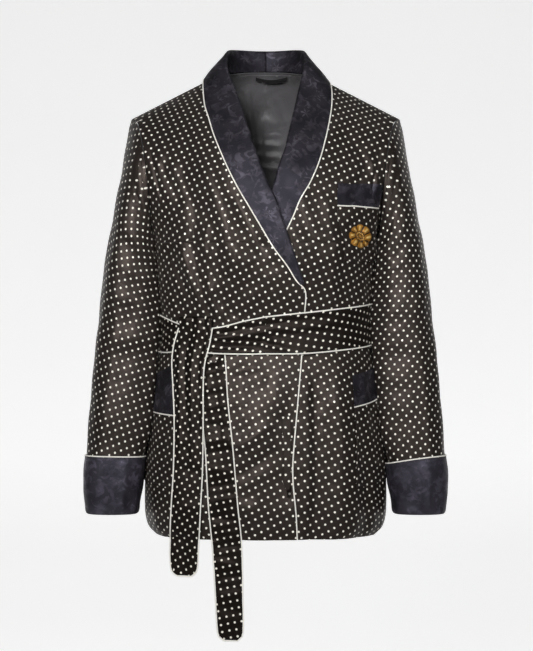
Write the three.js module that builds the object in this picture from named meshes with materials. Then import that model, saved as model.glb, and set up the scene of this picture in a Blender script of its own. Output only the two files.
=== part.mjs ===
import * as THREE from "three";

// A short silk wrap coat with a shawl collar and a tie belt, in the shape it has when worn, with nobody in it.
// Millimetres. +X is the wearer's left, +Y the back, +Z up.
// The origin is the middle of the neck, level with the tops of the shoulder seams, where the wearer carries it.

// Cloth
const WALL = 1.5;
const COLLAR_WALL = 1.7;
const SEAM_GAP = 0.3;
const CORD_RADIUS = 1.1;
const CORD_SIDES = 5;

// Torso: the two halves meet in the plane y = SIDE_Y, along the shoulder and side seams
const SIDE_Y = 5;
const SHOULDER_TIP = { x: 220, z: -61 };
const NECK_SIDE = { x: 75, z: 13 };
const NECK_BACK_Z = 24;
const RIDGE_Z = 51;
const ARMPIT = { x: 183, z: -268 };
const HEM_Z = -742.5;
const ARMHOLE_HALF_DEPTH = 75;
const CHEST_DEPTH = { front: 145, back: 125 };
const QUARTER_GIRTH = 272;
// Folds start and end over this share of their length, and fade over these shares towards side and shoulder seam
const FOLD_FADE = { ends: 0.2, side: 0.125, shoulder: 0.17 };
// Squareness of the sections, and the spacing that keeps their points even
const ROUND = 0.8;
const EVEN = 1.25;
// How soon the chest and the back fill out below the shoulder seam; the back is fuller beside the neck
const FRONT_FILL = 0.77;
const BACK_FILL = { neck: 0.28, shoulder: 0.6, neckX: 50, shoulderX: 140 };
const ARMHOLE_HOLLOW = 2.2;
const ARMHOLE_TURN = Math.PI / 3;

// Half widths and depths of the torso below the armholes
const TORSO_ROWS = [
  { z: -268, halfWidth: 183, front: 145, back: 125 },
  { z: -284, halfWidth: 182, front: 144.9, back: 124.9 },
  { z: -302, halfWidth: 179, front: 144, back: 124 },
  { z: -345, halfWidth: 173.5, front: 140, back: 121 },
  { z: -392, halfWidth: 169.5, front: 131, back: 117 },
  { z: -432, halfWidth: 170, front: 131, back: 118 },
  { z: -472, halfWidth: 176.5, front: 140, back: 126 },
  { z: -524, halfWidth: 184.5, front: 147, back: 134 },
  { z: -600, halfWidth: 191, front: 152, back: 141 },
  { z: -690, halfWidth: 196, front: 155, back: 146 },
  { z: -742.5, halfWidth: 191.5, front: 153, back: 143 },
];

// Front edges of the two fronts, measured from the middle towards their own side
const FRONT_EDGES = {
  right: [
    { z: 13, own: 75 }, { z: 0, own: 66 }, { z: -20, own: 55 }, { z: -44, own: 43 }, { z: -83, own: 31 },
    { z: -117, own: 20 }, { z: -146, own: 10 }, { z: -181, own: -4 }, { z: -199, own: -13.5 },
    { z: -234, own: -25 }, { z: -269, own: -37 }, { z: -304, own: -49 }, { z: -329, own: -57.5 },
    { z: -345, own: -60.5 }, { z: -379, own: -61.3 }, { z: -445, own: -56.7 }, { z: -523, own: -50 },
    { z: -594, own: -44 }, { z: -626, own: -42 }, { z: -655, own: -42.7 }, { z: -702, own: -47 },
    { z: -742.5, own: -49 },
  ],
  left: [
    { z: 13, own: 76 }, { z: 0, own: 70 }, { z: -20, own: 60.5 }, { z: -58, own: 48.5 }, { z: -93, own: 40 },
    { z: -124, own: 33 }, { z: -150, own: 24 }, { z: -177, own: 16 }, { z: -205, own: 3 },
    { z: -250, own: -17 }, { z: -300, own: -39 }, { z: -335, own: -54 }, { z: -379, own: -58 },
    { z: -445, own: -54 }, { z: -523, own: -48 }, { z: -626, own: -42 }, { z: -742.5, own: -47 },
  ],
};

// How far the under front lies inside the upper one, where they lap
const LAP_ROWS = [
  { z: -345, inset: 10 },
  { z: -390, inset: 7.5 },
  { z: -440, inset: 5 },
  { z: -742.5, inset: 4.6 },
];
const LAP_FADE = 50;

// Large soft folds: a line from (girth1, z1) to (girth2, z2), girth measured round from the middle of the front or
// the back towards the wearer's left; height is outward, a trough is negative
const FOLDS = {
  front_right: [
    { girth1: -118, z1: -120, girth2: -22, z2: -345, width: 24, height: 4 },
    { girth1: -72, z1: -165, girth2: 30, z2: -335, width: 15, height: -2.5 },
    { girth1: -165, z1: -255, girth2: -102, z2: -385, width: 13, height: -4 },
    { girth1: -135, z1: -270, girth2: -92, z2: -385, width: 12, height: 3.5 },
    { girth1: -200, z1: -130, girth2: -150, z2: -215, width: 14, height: -4 },
    { girth1: -110, z1: -450, girth2: -125, z2: -820, width: 22, height: 4 },
    { girth1: -68, z1: -450, girth2: -66, z2: -820, width: 18, height: -3 },
    { girth1: 20, z1: -520, girth2: 26, z2: -690, width: 12, height: -3 },
    { girth1: -15, z1: -500, girth2: -5, z2: -820, width: 20, height: 3.5 },
    { girth1: -195, z1: -450, girth2: -215, z2: -820, width: 24, height: -5 },
    { girth1: -240, z1: -300, girth2: -245, z2: -380, width: 16, height: 4 },
  ],
  front_left: [
    { girth1: 200, z1: -130, girth2: 150, z2: -210, width: 14, height: -4 },
    { girth1: 95, z1: -230, girth2: 92, z2: -372, width: 16, height: 3.5 },
    { girth1: 165, z1: -280, girth2: 142, z2: -368, width: 15, height: -4 },
    { girth1: 120, z1: -300, girth2: 116, z2: -370, width: 11, height: -2.5 },
    { girth1: 80, z1: -445, girth2: 82, z2: -820, width: 15, height: -4.5 },
    { girth1: 115, z1: -450, girth2: 122, z2: -820, width: 20, height: 4 },
    { girth1: 175, z1: -450, girth2: 188, z2: -820, width: 22, height: -4.5 },
    { girth1: 230, z1: -450, girth2: 240, z2: -820, width: 24, height: 4 },
    { girth1: 240, z1: -285, girth2: 245, z2: -362, width: 16, height: 4 },
  ],
  back: [
    { girth1: -150, z1: -120, girth2: -95, z2: -360, width: 24, height: -4 },
    { girth1: 150, z1: -110, girth2: 105, z2: -358, width: 24, height: -4 },
    { girth1: -50, z1: -230, girth2: -40, z2: -358, width: 18, height: 4 },
    { girth1: 45, z1: -250, girth2: 50, z2: -358, width: 17, height: 3.5 },
    { girth1: 0, z1: -270, girth2: 5, z2: -358, width: 15, height: -3.5 },
    { girth1: -195, z1: -260, girth2: -170, z2: -362, width: 18, height: 4 },
    { girth1: 200, z1: -270, girth2: 175, z2: -358, width: 18, height: 4 },
    { girth1: -125, z1: -445, girth2: -150, z2: -820, width: 24, height: 5 },
    { girth1: -55, z1: -445, girth2: -70, z2: -820, width: 22, height: -5 },
    { girth1: 10, z1: -445, girth2: 5, z2: -820, width: 24, height: 5 },
    { girth1: 80, z1: -445, girth2: 92, z2: -820, width: 22, height: -5 },
    { girth1: 150, z1: -445, girth2: 170, z2: -820, width: 24, height: 5 },
    { girth1: 215, z1: -445, girth2: 232, z2: -820, width: 22, height: -4 },
    { girth1: -205, z1: -445, girth2: -228, z2: -820, width: 22, height: -4 },
  ],
};

// Sleeve, from the armhole to the wrist: the outer and inner edge of each ring, and its depth front to back.
// armhole is how much of the armhole's own shape the ring still has.
const SLEEVE_ROWS = [
  { outX: 221, outZ: -61.5, inX: 185.4, inZ: -268.5, midY: 5, halfDepth: 75.5, armhole: 1 },
  { outX: 227, outZ: -86, inX: 185.4, inZ: -276, midY: 5, halfDepth: 77, armhole: 0.8 },
  { outX: 236, outZ: -140, inX: 184.4, inZ: -290, midY: 4, halfDepth: 77, armhole: 0.4 },
  { outX: 247, outZ: -200, inX: 183, inZ: -306, midY: 1, halfDepth: 74, armhole: 0.1 },
  { outX: 258.5, outZ: -266, inX: 181.6, inZ: -328, midY: -3, halfDepth: 70, armhole: 0 },
  { outX: 268.5, outZ: -340, inX: 180.3, inZ: -366, midY: -8, halfDepth: 66, armhole: 0 },
  { outX: 276, outZ: -408, inX: 180.2, inZ: -418, midY: -15, halfDepth: 61.5, armhole: 0 },
  { outX: 282.5, outZ: -478, inX: 185.5, inZ: -480, midY: -22, halfDepth: 57.5, armhole: 0 },
  { outX: 288, outZ: -548, inX: 192, inZ: -546, midY: -30, halfDepth: 53.5, armhole: 0 },
  { outX: 291, outZ: -617, inX: 198, inZ: -614, midY: -37.5, halfDepth: 48.3, armhole: 0 },
  { outX: 293.5, outZ: -655, inX: 202, inZ: -653, midY: -38, halfDepth: 47.3, armhole: 0 },
  { outX: 290, outZ: -697, inX: 209.6, inZ: -697, midY: -38, halfDepth: 42.3, armhole: 0 },
];
const SLEEVE_RINGS = 19;
const SLEEVE_COLUMNS = 20;

// Soft rings of crushed cloth in a sleeve: place along it (0 armhole, 1 wrist), the side it is deepest on (degrees,
// 0 outer, 90 front, 180 inner), how far it runs round, its width along the sleeve and its height
const SLEEVE_FOLDS = [
  { place: 0.2, side: 110, spread: 70, width: 0.035, height: -5 },
  { place: 0.33, side: 70, spread: 80, width: 0.03, height: -4 },
  { place: 0.43, side: 150, spread: 70, width: 0.03, height: -4 },
  { place: 0.52, side: 60, spread: 80, width: 0.028, height: -3.5 },
  { place: 0.6, side: 120, spread: 70, width: 0.028, height: -4 },
  { place: 0.47, side: 250, spread: 80, width: 0.03, height: -4 },
  { place: 0.3, side: 260, spread: 80, width: 0.035, height: -4 },
  { place: 0.7, side: 300, spread: 80, width: 0.03, height: -3 },
];

// Turned-back cuff: outer face from its top edge down, the fold, and the face that goes up inside
const CUFF_ROWS = [
  { z: -614.5, outX: 294, inX: 195.3, halfDepth: 51.5, inward: 0 },
  { z: -638, outX: 296.5, inX: 197.8, halfDepth: 51.5, inward: 0 },
  { z: -664, outX: 296.8, inX: 201.2, halfDepth: 50, inward: 0 },
  { z: -690, outX: 294.6, inX: 205.4, halfDepth: 47, inward: 0 },
  { z: -704, outX: 293, inX: 207.3, halfDepth: 45.2, inward: 0 },
  { z: -707.5, outX: 292.6, inX: 207.6, halfDepth: 45, inward: 3.2 },
  { z: -704, outX: 293, inX: 207.3, halfDepth: 45.2, inward: 6.4 },
  { z: -686, outX: 294.6, inX: 205.4, halfDepth: 47, inward: 6.8 },
];
const CUFF_MID_Y = -38;
const CUFF_COLUMNS = 20;

// Shawl collar, from the centre back round to where the lapel ends. roll is the folded edge, edge the outer edge and
// seam the neck seam, each measured on the collar's own side. Where y is left out the point lies on the front.
const COLLAR_STATIONS = {
  right: [
    { roll: [0.4, 84, 60], edge: [0.4, 101, -9], seam: [0.4, 79.5, 25.5] },
    { roll: [30, 80, 60.5], edge: [42, 95, -8.5], seam: [30, 67.5, 24] },
    { roll: [51, 66, 60], edge: [76, 74, -6], seam: [53, 51, 20.5] },
    { roll: [62, 40, 56], edge: [94, 46, -1], seam: [69, 25, 16.5] },
    { roll: [64.5, 12, 43], edge: [101, 10, 6.5], seam: [74, 2, 15] },
    { roll: [62.5, -14, 20], edge: [101.5, -22, -9.5], seam: [67, -13, 8] },
    { roll: [52.5, -37, -8], edge: [97, null, -44], seam: null },
    { roll: [40, null, -44], edge: [90, null, -66], seam: null },
    { roll: [28.4, null, -83], edge: [81.6, null, -96], seam: null },
    { roll: [17, null, -117], edge: [67.3, null, -132], seam: null },
    { roll: [7.4, null, -146], edge: [53, null, -162], seam: null },
    { roll: [-7, null, -181], edge: [37, null, -190], seam: null },
    { roll: [-16.6, null, -199.5], edge: [25, null, -210], seam: null },
    { roll: [-27.7, null, -234], edge: [4.9, null, -245], seam: null },
    { roll: [-39.7, null, -269], edge: [-14.5, null, -277], seam: null },
    { roll: [-51.5, null, -304], edge: [-36, null, -307], seam: null },
    { roll: [-58.6, null, -325], edge: [-48, null, -327], seam: null },
    { roll: [-61.6, null, -336], edge: [-54.6, null, -336], seam: null },
  ],
  left: [
    { roll: [0.4, 84, 60], edge: [0.4, 101, -9], seam: [0.4, 79.5, 25.5] },
    { roll: [30, 80, 60.5], edge: [42, 95, -8.5], seam: [30, 67.5, 24] },
    { roll: [52, 66, 60], edge: [77, 74, -6], seam: [53, 51, 20.5] },
    { roll: [64, 40, 55], edge: [96, 46, -1], seam: [69, 25, 16.5] },
    { roll: [65.5, 12, 40], edge: [103, 10, 4], seam: [74, 2, 15] },
    { roll: [62.5, -15, 17], edge: [107, -24, -12.5], seam: [66.5, -13, 8.5] },
    { roll: [56, -36, -8], edge: [106, null, -38], seam: null },
    { roll: [48.5, null, -42], edge: [102, null, -66], seam: null },
    { roll: [39, null, -83], edge: [94, null, -106], seam: null },
    { roll: [30.5, null, -119], edge: [83, null, -141], seam: null },
    { roll: [20, null, -149], edge: [69, null, -173], seam: null },
    { roll: [12, null, -179], edge: [55, null, -202], seam: null },
    { roll: [0, null, -205], edge: [44, null, -228], seam: null },
    { roll: [-14, null, -237], edge: [28, null, -256], seam: null },
    { roll: [-28, null, -270], edge: [7, null, -284], seam: null },
    { roll: [-42, null, -300], edge: [-19, null, -309], seam: null },
    { roll: [-53, null, -322], edge: [-40, null, -325], seam: null },
    { roll: [-57, null, -334], edge: [-49.5, null, -335], seam: null },
  ],
};
const COLLAR_LIFT = 3.4;
const COLLAR_FOLD = 3.2;
const COLLAR_TUCK = 9;
const COLLAR_ACROSS = 4;
const COLLAR_BULGE = 3;
// Where the edging cord passes from the collar's edge to the front's
const CORD_TURN = { out: 1.2, down: 10, lift: 2.4 };

// Pockets on the fronts. Each has a front and a side edge; girth is measured round from the middle of the front
const POCKETS = {
  chest: {
    front: "front_left", side: 1, columns: 7, rows: 5, lift: 2.9,
    frontEdge: { top: -175, band: -210.5, bottom: -299, girthTop: 129, girthBottom: 119 },
    sideEdge: { top: -173.5, band: -211.5, bottom: -296, girthTop: 259, girthBottom: 206 },
  },
  hip_left: {
    front: "front_left", side: 1, columns: 8, rows: 5, lift: 2.2,
    frontEdge: { top: -482, band: -533, bottom: -664, girthTop: 136, girthBottom: 128 },
    sideEdge: { top: -462, band: -514, bottom: -646, girthTop: 252, girthBottom: 250 },
  },
  hip_right: {
    front: "front_right", side: -1, columns: 8, rows: 5, lift: 2.3,
    frontEdge: { top: -464, band: -547, bottom: -664, girthTop: 136, girthBottom: 128 },
    sideEdge: { top: -492, band: -539, bottom: -652, girthTop: 252, girthBottom: 250 },
  },
};
const BAND_OVER_POCKET = 0.4;

// Ornament on the chest pocket: a round flower with eight petals
const ROSETTE = {
  x: 149, z: -258, halfWidth: 18.5, halfHeight: 20, petals: 8, scallop: 0.09, lift: 2.2, wall: 1.2,
};

// Tie belt. The band goes round the waist; rows give its middle and half height on the way round, from the middle
// of the front (0) through the wearer's left (0.25), back (0.5) and right (0.75) to the front again
const BELT_ROWS = [
  { turn: 0, z: -417.5, half: 28 },
  { turn: 0.055, z: -414, half: 31 },
  { turn: 0.13, z: -406, half: 32 },
  { turn: 0.25, z: -396, half: 32 },
  { turn: 0.375, z: -394, half: 31 },
  { turn: 0.5, z: -395, half: 32 },
  { turn: 0.625, z: -399, half: 31 },
  { turn: 0.75, z: -409, half: 30 },
  { turn: 0.83, z: -417, half: 27 },
  { turn: 0.895, z: -424, half: 18 },
  { turn: 0.93, z: -426, half: 19 },
  { turn: 0.97, z: -421, half: 25 },
  { turn: 1, z: -417.5, half: 28 },
];
const BELT_COLUMNS = 38;
const BELT_LIFT = 4.4;
const KNOT = { turn: 0.897, spread: 0.05, lift: 5 };

// Belt ends hanging in front: left and right edges as the viewer sees them, and how far each lies off the front
const TAIL_FRONT_ROWS = [
  { z: -406, x1: -138, x2: -86, lift: 13.8 },
  { z: -433, x1: -146, x2: -91, lift: 13.4 },
  { z: -460, x1: -149, x2: -98, lift: 10.6 },
  { z: -489, x1: -147.5, x2: -100.5, lift: 9.4 },
  { z: -551, x1: -144.5, x2: -100.5, lift: 9 },
  { z: -632, x1: -145.5, x2: -101.5, lift: 9 },
  { z: -690, x1: -149, x2: -104.5, lift: 9 },
  { z: -751, x1: -151.5, x2: -107.5, lift: 9 },
  { z: -785, x1: -150.8, x2: -109.3, lift: 9 },
  { z: -796, x1: -147, x2: -113, lift: 9 },
  { z: -800, x1: -141, x2: -119, lift: 9 },
];
const TAIL_BACK_ROWS = [
  { z: -424, x1: -112, x2: -72, lift: 2.8 },
  { z: -444, x1: -109, x2: -67, lift: 2.8 },
  { z: -470, x1: -107, x2: -64.5, lift: 2.9 },
  { z: -520, x1: -103, x2: -61.5, lift: 3.1 },
  { z: -600, x1: -94.5, x2: -53, lift: 3.1 },
  { z: -688, x1: -89.5, x2: -45.5, lift: 3.1 },
  { z: -751, x1: -83.5, x2: -39, lift: 3.1 },
  { z: -832, x1: -78.5, x2: -37.2, lift: 3.1 },
  { z: -885, x1: -75.5, x2: -36.5, lift: 3.1 },
  { z: -897, x1: -72, x2: -39.5, lift: 3.1 },
  { z: -901, x1: -66, x2: -45, lift: 3.1 },
];
const TAIL_ACROSS = 3;
const TAIL_END_ROWS = 3;
const TAIL_STIFFNESS = { hanging: 0.6, tied: 0.25 };
// Where the front end is folded over the band, from behind it to the front
const KNOT_FOLD = [
  { z: -417, lift: 4.4 },
  { z: -397, lift: 4.4 },
  { z: -389, lift: 7.5 },
  { z: -387.5, lift: 10.5 },
  { z: -392, lift: 13.4 },
];

// Back lining as far as it shows, and the loop in the neck
const LINING = { rows: 9, inward: 1.7, wall: 1, top: { share: 0.4, inward: 2.95 } };
const LOOP = { x1: -18, x2: 38, z: 16, sag: 2.5, halfHeight: 3, inward: 5.6, bow: 4, wall: 1, columns: 8 };

const COLOURS = {
  silk: 0x231e1a,
  jacquard: 0x25232b,
  piping: 0xe9e4d6,
  lining: 0x474b4a,
  loop: 0x141316,
  gold: 0xb8862b,
};

const mix = (a, b, share) => a + (b - a) * share;
const clamp = (value, low, high) => Math.min(high, Math.max(low, value));
const smooth = (value) => clamp(value, 0, 1) ** 2 * (3 - 2 * clamp(value, 0, 1));

// Reads one column of a table at a place between its rows, on a smooth curve through them
function read(rows, by, key, at) {
  const up = rows[rows.length - 1][by] > rows[0][by] ? 1 : -1;
  const last = rows.length - 1;
  const passed = (row) => (row[by] - at) * up <= 0;
  let i = 0;
  while (i < last - 1 && passed(rows[i + 1])) i += 1;
  const slope = (j) => {
    const before = rows[Math.max(j - 1, 0)];
    const after = rows[Math.min(j + 1, last)];
    return (after[key] - before[key]) / (after[by] - before[by]);
  };
  const span = rows[i + 1][by] - rows[i][by];
  const t = clamp((at - rows[i][by]) / span, 0, 1);
  const start = (1 + 2 * t) * (1 - t) ** 2 * rows[i][key] + t * (1 - t) ** 2 * span * slope(i);
  const end = t * t * (3 - 2 * t) * rows[i + 1][key] + t * t * (t - 1) * span * slope(i + 1);
  return start + end;
}

// Finds where a falling function reaches a value
function solve(fall, target, low, high) {
  let a = low;
  let b = high;
  for (let i = 0; i < 40; i += 1) {
    const middle = (a + b) / 2;
    if (fall(middle) > target) a = middle;
    else b = middle;
  }
  return (a + b) / 2;
}

function armholeX(level) {
  return mix(ARMPIT.x, SHOULDER_TIP.x, (1 - level) ** ARMHOLE_HOLLOW);
}

// A row of the torso: level 0 is the shoulder seam, 1 the armpits, 2 the hem
function torsoRow(level) {
  if (level <= 1) {
    const drop = (1 - Math.cos(Math.PI * level)) / 2;
    return {
      halfWidth: armholeX(level),
      centreZ: mix(RIDGE_Z, ARMPIT.z, drop),
      sideZ: mix(SHOULDER_TIP.z, ARMPIT.z, drop),
      sideDepth: ARMHOLE_HALF_DEPTH * Math.sin(Math.PI * level),
      turn: mix(ARMHOLE_TURN, Math.PI / 2, smooth((level - 0.6) / 0.4)),
      drop,
    };
  }
  const z = mix(ARMPIT.z, HEM_Z, level - 1);
  return {
    halfWidth: read(TORSO_ROWS, "z", "halfWidth", z),
    centreZ: z,
    sideZ: z,
    sideDepth: 0,
    turn: Math.PI / 2,
    drop: 1,
  };
}

// Depth of the torso's front or back at the middle of a row, or off the middle near the neck
function torsoDepth(facing, row, x) {
  const fullness = 1 - (1 - row.drop) ** 2;
  if (row.drop >= 1) return read(TORSO_ROWS, "z", facing, row.centreZ);
  if (facing === "front") return CHEST_DEPTH.front * fullness ** FRONT_FILL;
  const { neck, shoulder, neckX, shoulderX } = BACK_FILL;
  const fill = mix(neck, shoulder, smooth((Math.abs(x) - neckX) / (shoulderX - neckX)));
  return CHEST_DEPTH.back * fullness ** fill;
}

// Share of the way round the quarter, 0 at the middle and 1 at the side, spaced evenly along the cloth
function evenly(share) {
  return share ** EVEN / (share ** EVEN + (1 - share) ** EVEN);
}

function across(row, share) {
  return (Math.sin(row.turn * evenly(share)) / Math.sin(row.turn)) ** ROUND;
}

function foldLift(folds, girth, z) {
  let lift = 0;
  for (const fold of folds) {
    const dx = fold.girth2 - fold.girth1;
    const dz = fold.z2 - fold.z1;
    const t = clamp(((girth - fold.girth1) * dx + (z - fold.z1) * dz) / (dx * dx + dz * dz), 0, 1);
    const away = Math.hypot(girth - fold.girth1 - t * dx, z - fold.z1 - t * dz);
    lift += fold.height * Math.exp(-((away / fold.width) ** 2)) * smooth(Math.min(t, 1 - t) / FOLD_FADE.ends);
  }
  return lift;
}

// How far the left front lies inside, under the right one
function lapInset(x, z) {
  const upperEdge = -read(FRONT_EDGES.right, "z", "own", z);
  return read(LAP_ROWS, "z", "inset", z) * smooth((upperEdge + LAP_FADE - x) / LAP_FADE);
}

// A point of a panel. share runs from -1 at the wearer's right side seam to 1 at the left one.
function torsoPoint(panel, level, share) {
  const facing = panel === "back" ? "back" : "front";
  const row = torsoRow(level);
  const out = across(row, Math.abs(share));
  const x = Math.sign(share) * row.halfWidth * out;
  const z = mix(row.centreZ, row.sideZ, out);
  const bend = 1 - Math.cos(row.turn * evenly(Math.abs(share))) ** ROUND;
  const rounding = bend / (1 - Math.cos(row.turn) ** ROUND);
  let depth = mix(torsoDepth(facing, row, x), row.sideDepth, rounding);
  const seamFade = smooth((1 - Math.abs(share)) / FOLD_FADE.side) * smooth(level / FOLD_FADE.shoulder);
  depth += foldLift(FOLDS[panel], share * QUARTER_GIRTH, z) * seamFade;
  if (panel === "front_left") depth -= lapInset(x, z);
  const forward = facing === "front" ? -1 : 1;
  return new THREE.Vector3(x, SIDE_Y + forward * (SEAM_GAP / 2 + depth), z);
}

// The level and share of the panel's point at a given x and z
function place(panel, x, z) {
  const height = (level) => {
    const row = torsoRow(level);
    return mix(row.centreZ, row.sideZ, clamp(Math.abs(x) / row.halfWidth, 0, 1));
  };
  const level = solve(height, z, 0, 2);
  const row = torsoRow(level);
  const reach = (share) => -row.halfWidth * across(row, share);
  const share = solve(reach, -Math.min(Math.abs(x), row.halfWidth * 0.999), 0, 1);
  return { level, share: Math.sign(x) * share };
}

// A point lifted off a panel, straight out from it
function liftedPoint(panel, level, share, lift) {
  const step = 0.004;
  const point = torsoPoint(panel, level, share);
  const low = clamp(level, step, 2 - step);
  const near = clamp(share, step - 1, 1 - step);
  const down = torsoPoint(panel, low + step, near).sub(torsoPoint(panel, low - step, near));
  const sideways = torsoPoint(panel, low, near + step).sub(torsoPoint(panel, low, near - step));
  const out = sideways.cross(down).normalize();
  if (panel === "back") out.negate();
  return point.addScaledVector(out, -lift);
}

function pointOn(panel, x, z, lift) {
  const { level, share } = place(panel, x, z);
  return liftedPoint(panel, level, share, lift);
}

// The same, with the place given by its way round the body instead of by x
function pointRound(panel, girth, z, lift) {
  const share = girth / QUARTER_GIRTH;
  const height = (level) => {
    const row = torsoRow(level);
    return mix(row.centreZ, row.sideZ, across(row, Math.abs(share)));
  };
  return liftedPoint(panel, solve(height, z, 0, 2), share, lift);
}

function gridNormals(grid, closed) {
  const rows = grid.length;
  const columns = grid[0].length;
  return grid.map((line, r) => line.map((_, c) => {
    const above = grid[Math.max(r - 1, 0)][c];
    const below = grid[Math.min(r + 1, rows - 1)][c];
    const before = closed ? line[(c + columns - 1) % columns] : line[Math.max(c - 1, 0)];
    const after = closed ? line[(c + 1) % columns] : line[Math.min(c + 1, columns - 1)];
    return after.clone().sub(before).cross(below.clone().sub(above)).normalize();
  }));
}

function closedGeometry(points, faces) {
  const position = new Float32Array(points.length * 3);
  points.forEach((point, i) => point.toArray(position, i * 3));
  let volume = 0;
  for (const [a, b, c] of faces) volume += points[a].dot(points[b].clone().cross(points[c]));
  const geometry = new THREE.BufferGeometry();
  geometry.setAttribute("position", new THREE.BufferAttribute(position, 3));
  geometry.setIndex(faces.flatMap(([a, b, c]) => (volume > 0 ? [a, b, c] : [a, c, b])));
  geometry.computeVertexNormals();
  return geometry;
}

// Cloth of a given wall round a grid of points in its middle. A closed grid is a tube.
function cloth(grid, wall = WALL, closed = false, normals = gridNormals(grid, closed)) {
  const rows = grid.length;
  const columns = grid[0].length;
  const points = [];
  for (const side of [0.5, -0.5]) {
    grid.forEach((line, r) => line.forEach((point, c) => {
      points.push(point.clone().addScaledVector(normals[r][c], side * wall));
    }));
  }
  const other = rows * columns;
  const at = (r, c) => r * columns + (c % columns);
  const faces = [];
  const quad = (a, b, c, d) => faces.push([a, b, c], [a, c, d]);
  const spans = closed ? columns : columns - 1;
  for (let r = 0; r < rows - 1; r += 1) {
    for (let c = 0; c < spans; c += 1) {
      const [a, b, d, e] = [at(r, c), at(r, c + 1), at(r + 1, c + 1), at(r + 1, c)];
      faces.push([a, b, d], [a, d, e]);
      faces.push([d + other, b + other, a + other], [e + other, d + other, a + other]);
    }
  }
  for (let c = 0; c < spans; c += 1) {
    quad(at(0, c + 1), at(0, c), at(0, c) + other, at(0, c + 1) + other);
    quad(at(rows - 1, c), at(rows - 1, c + 1), at(rows - 1, c + 1) + other, at(rows - 1, c) + other);
  }
  if (!closed) {
    for (let r = 0; r < rows - 1; r += 1) {
      quad(at(r, 0), at(r + 1, 0), at(r + 1, 0) + other, at(r, 0) + other);
      quad(at(r + 1, columns - 1), at(r, columns - 1), at(r, columns - 1) + other, at(r + 1, columns - 1) + other);
    }
  }
  return closedGeometry(points, faces);
}

// Round cord along a path
function cord(path, closed = false, radius = CORD_RADIUS) {
  const count = path.length;
  const points = [];
  let side = null;
  path.forEach((point, i) => {
    const before = closed ? path[(i + count - 1) % count] : path[Math.max(i - 1, 0)];
    const after = closed ? path[(i + 1) % count] : path[Math.min(i + 1, count - 1)];
    const ahead = after.clone().sub(before).normalize();
    if (!side) side = Math.abs(ahead.z) > 0.7 ? new THREE.Vector3(0, 1, 0) : new THREE.Vector3(0, 0, 1);
    side = side.clone().addScaledVector(ahead, -side.dot(ahead)).normalize();
    const up = ahead.clone().cross(side);
    for (let k = 0; k < CORD_SIDES; k += 1) {
      const angle = (2 * Math.PI * k) / CORD_SIDES;
      const spoke = side.clone().multiplyScalar(Math.cos(angle)).addScaledVector(up, Math.sin(angle));
      points.push(point.clone().addScaledVector(spoke, radius));
    }
  });
  const faces = [];
  const at = (i, k) => (i % count) * CORD_SIDES + (k % CORD_SIDES);
  for (let i = 0; i < (closed ? count : count - 1); i += 1) {
    for (let k = 0; k < CORD_SIDES; k += 1) {
      faces.push([at(i, k), at(i + 1, k), at(i + 1, k + 1)], [at(i, k), at(i + 1, k + 1), at(i, k + 1)]);
    }
  }
  if (!closed) {
    for (let k = 1; k < CORD_SIDES - 1; k += 1) {
      faces.push([at(0, 0), at(0, k), at(0, k + 1)], [at(count - 1, 0), at(count - 1, k + 1), at(count - 1, k)]);
    }
  }
  return closedGeometry(points, faces);
}

// Points a little beyond the last point of each line, in the cloth's own plane, where an edging cord lies
function beside(lines) {
  return lines.map((line) => {
    const edge = line[line.length - 1];
    const inner = line[line.length - 2];
    return edge.clone().addScaledVector(edge.clone().sub(inner).normalize(), CORD_RADIUS + SEAM_GAP);
  });
}

function spaced(count, from, to, put) {
  return Array.from({ length: count + 1 }, (_, i) => put(mix(from, to, i / count)));
}

const coat = new THREE.Group();
const materials = Object.fromEntries(Object.entries(COLOURS).map(([name, color]) => [
  name,
  new THREE.MeshStandardMaterial({ color, roughness: name === "piping" ? 0.6 : 0.4, metalness: 0 }),
]));

function add(name, material, geometry) {
  const mesh = new THREE.Mesh(geometry, materials[material]);
  mesh.name = name;
  coat.add(mesh);
}

// Fronts
const FRONT_COLUMNS = 14;
const YOKE_STEPS = 11;
const SKIRT_STEPS = 13;

function frontEdgeShare(side, edges, level) {
  const row = torsoRow(level);
  const past = (own) => {
    const out = across(row, Math.abs(own));
    const z = mix(row.centreZ, row.sideZ, out);
    return read(edges, "z", "own", z) - Math.sign(own) * row.halfWidth * out;
  };
  return side * solve(past, 0, -0.6, 1);
}

const levels = [
  ...spaced(YOKE_STEPS, 0, 1, (level) => level),
  ...spaced(SKIRT_STEPS, 1, 2, (level) => level).slice(1),
];

function frontGrid(panel, side, edges) {
  return levels.map((level) => {
    const start = frontEdgeShare(side, edges, level);
    return spaced(FRONT_COLUMNS, start, side, (share) => torsoPoint(panel, level, share));
  });
}

// At the shoulder seam front and back share one direction, so that their walls meet edge to edge
function shoulderNormals(grid) {
  const normals = gridNormals(grid, false);
  const slope = Math.atan2(RIDGE_Z - SHOULDER_TIP.z, SHOULDER_TIP.x);
  const flip = normals[0][normals[0].length - 1].z > 0 ? 1 : -1;
  grid[0].forEach((point, c) => {
    if (Math.abs(point.x) < NECK_SIDE.x - 1) return;
    const sideways = Math.sign(point.x) * Math.sin(slope);
    normals[0][c].set(sideways * flip, 0, Math.cos(slope) * flip);
  });
  return normals;
}

const frontGrids = {
  front_right: frontGrid("front_right", -1, FRONT_EDGES.right),
  front_left: frontGrid("front_left", 1, FRONT_EDGES.left),
};
for (const [name, grid] of Object.entries(frontGrids)) {
  add(name, "silk", cloth(grid, WALL, false, shoulderNormals(grid)));
}

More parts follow.
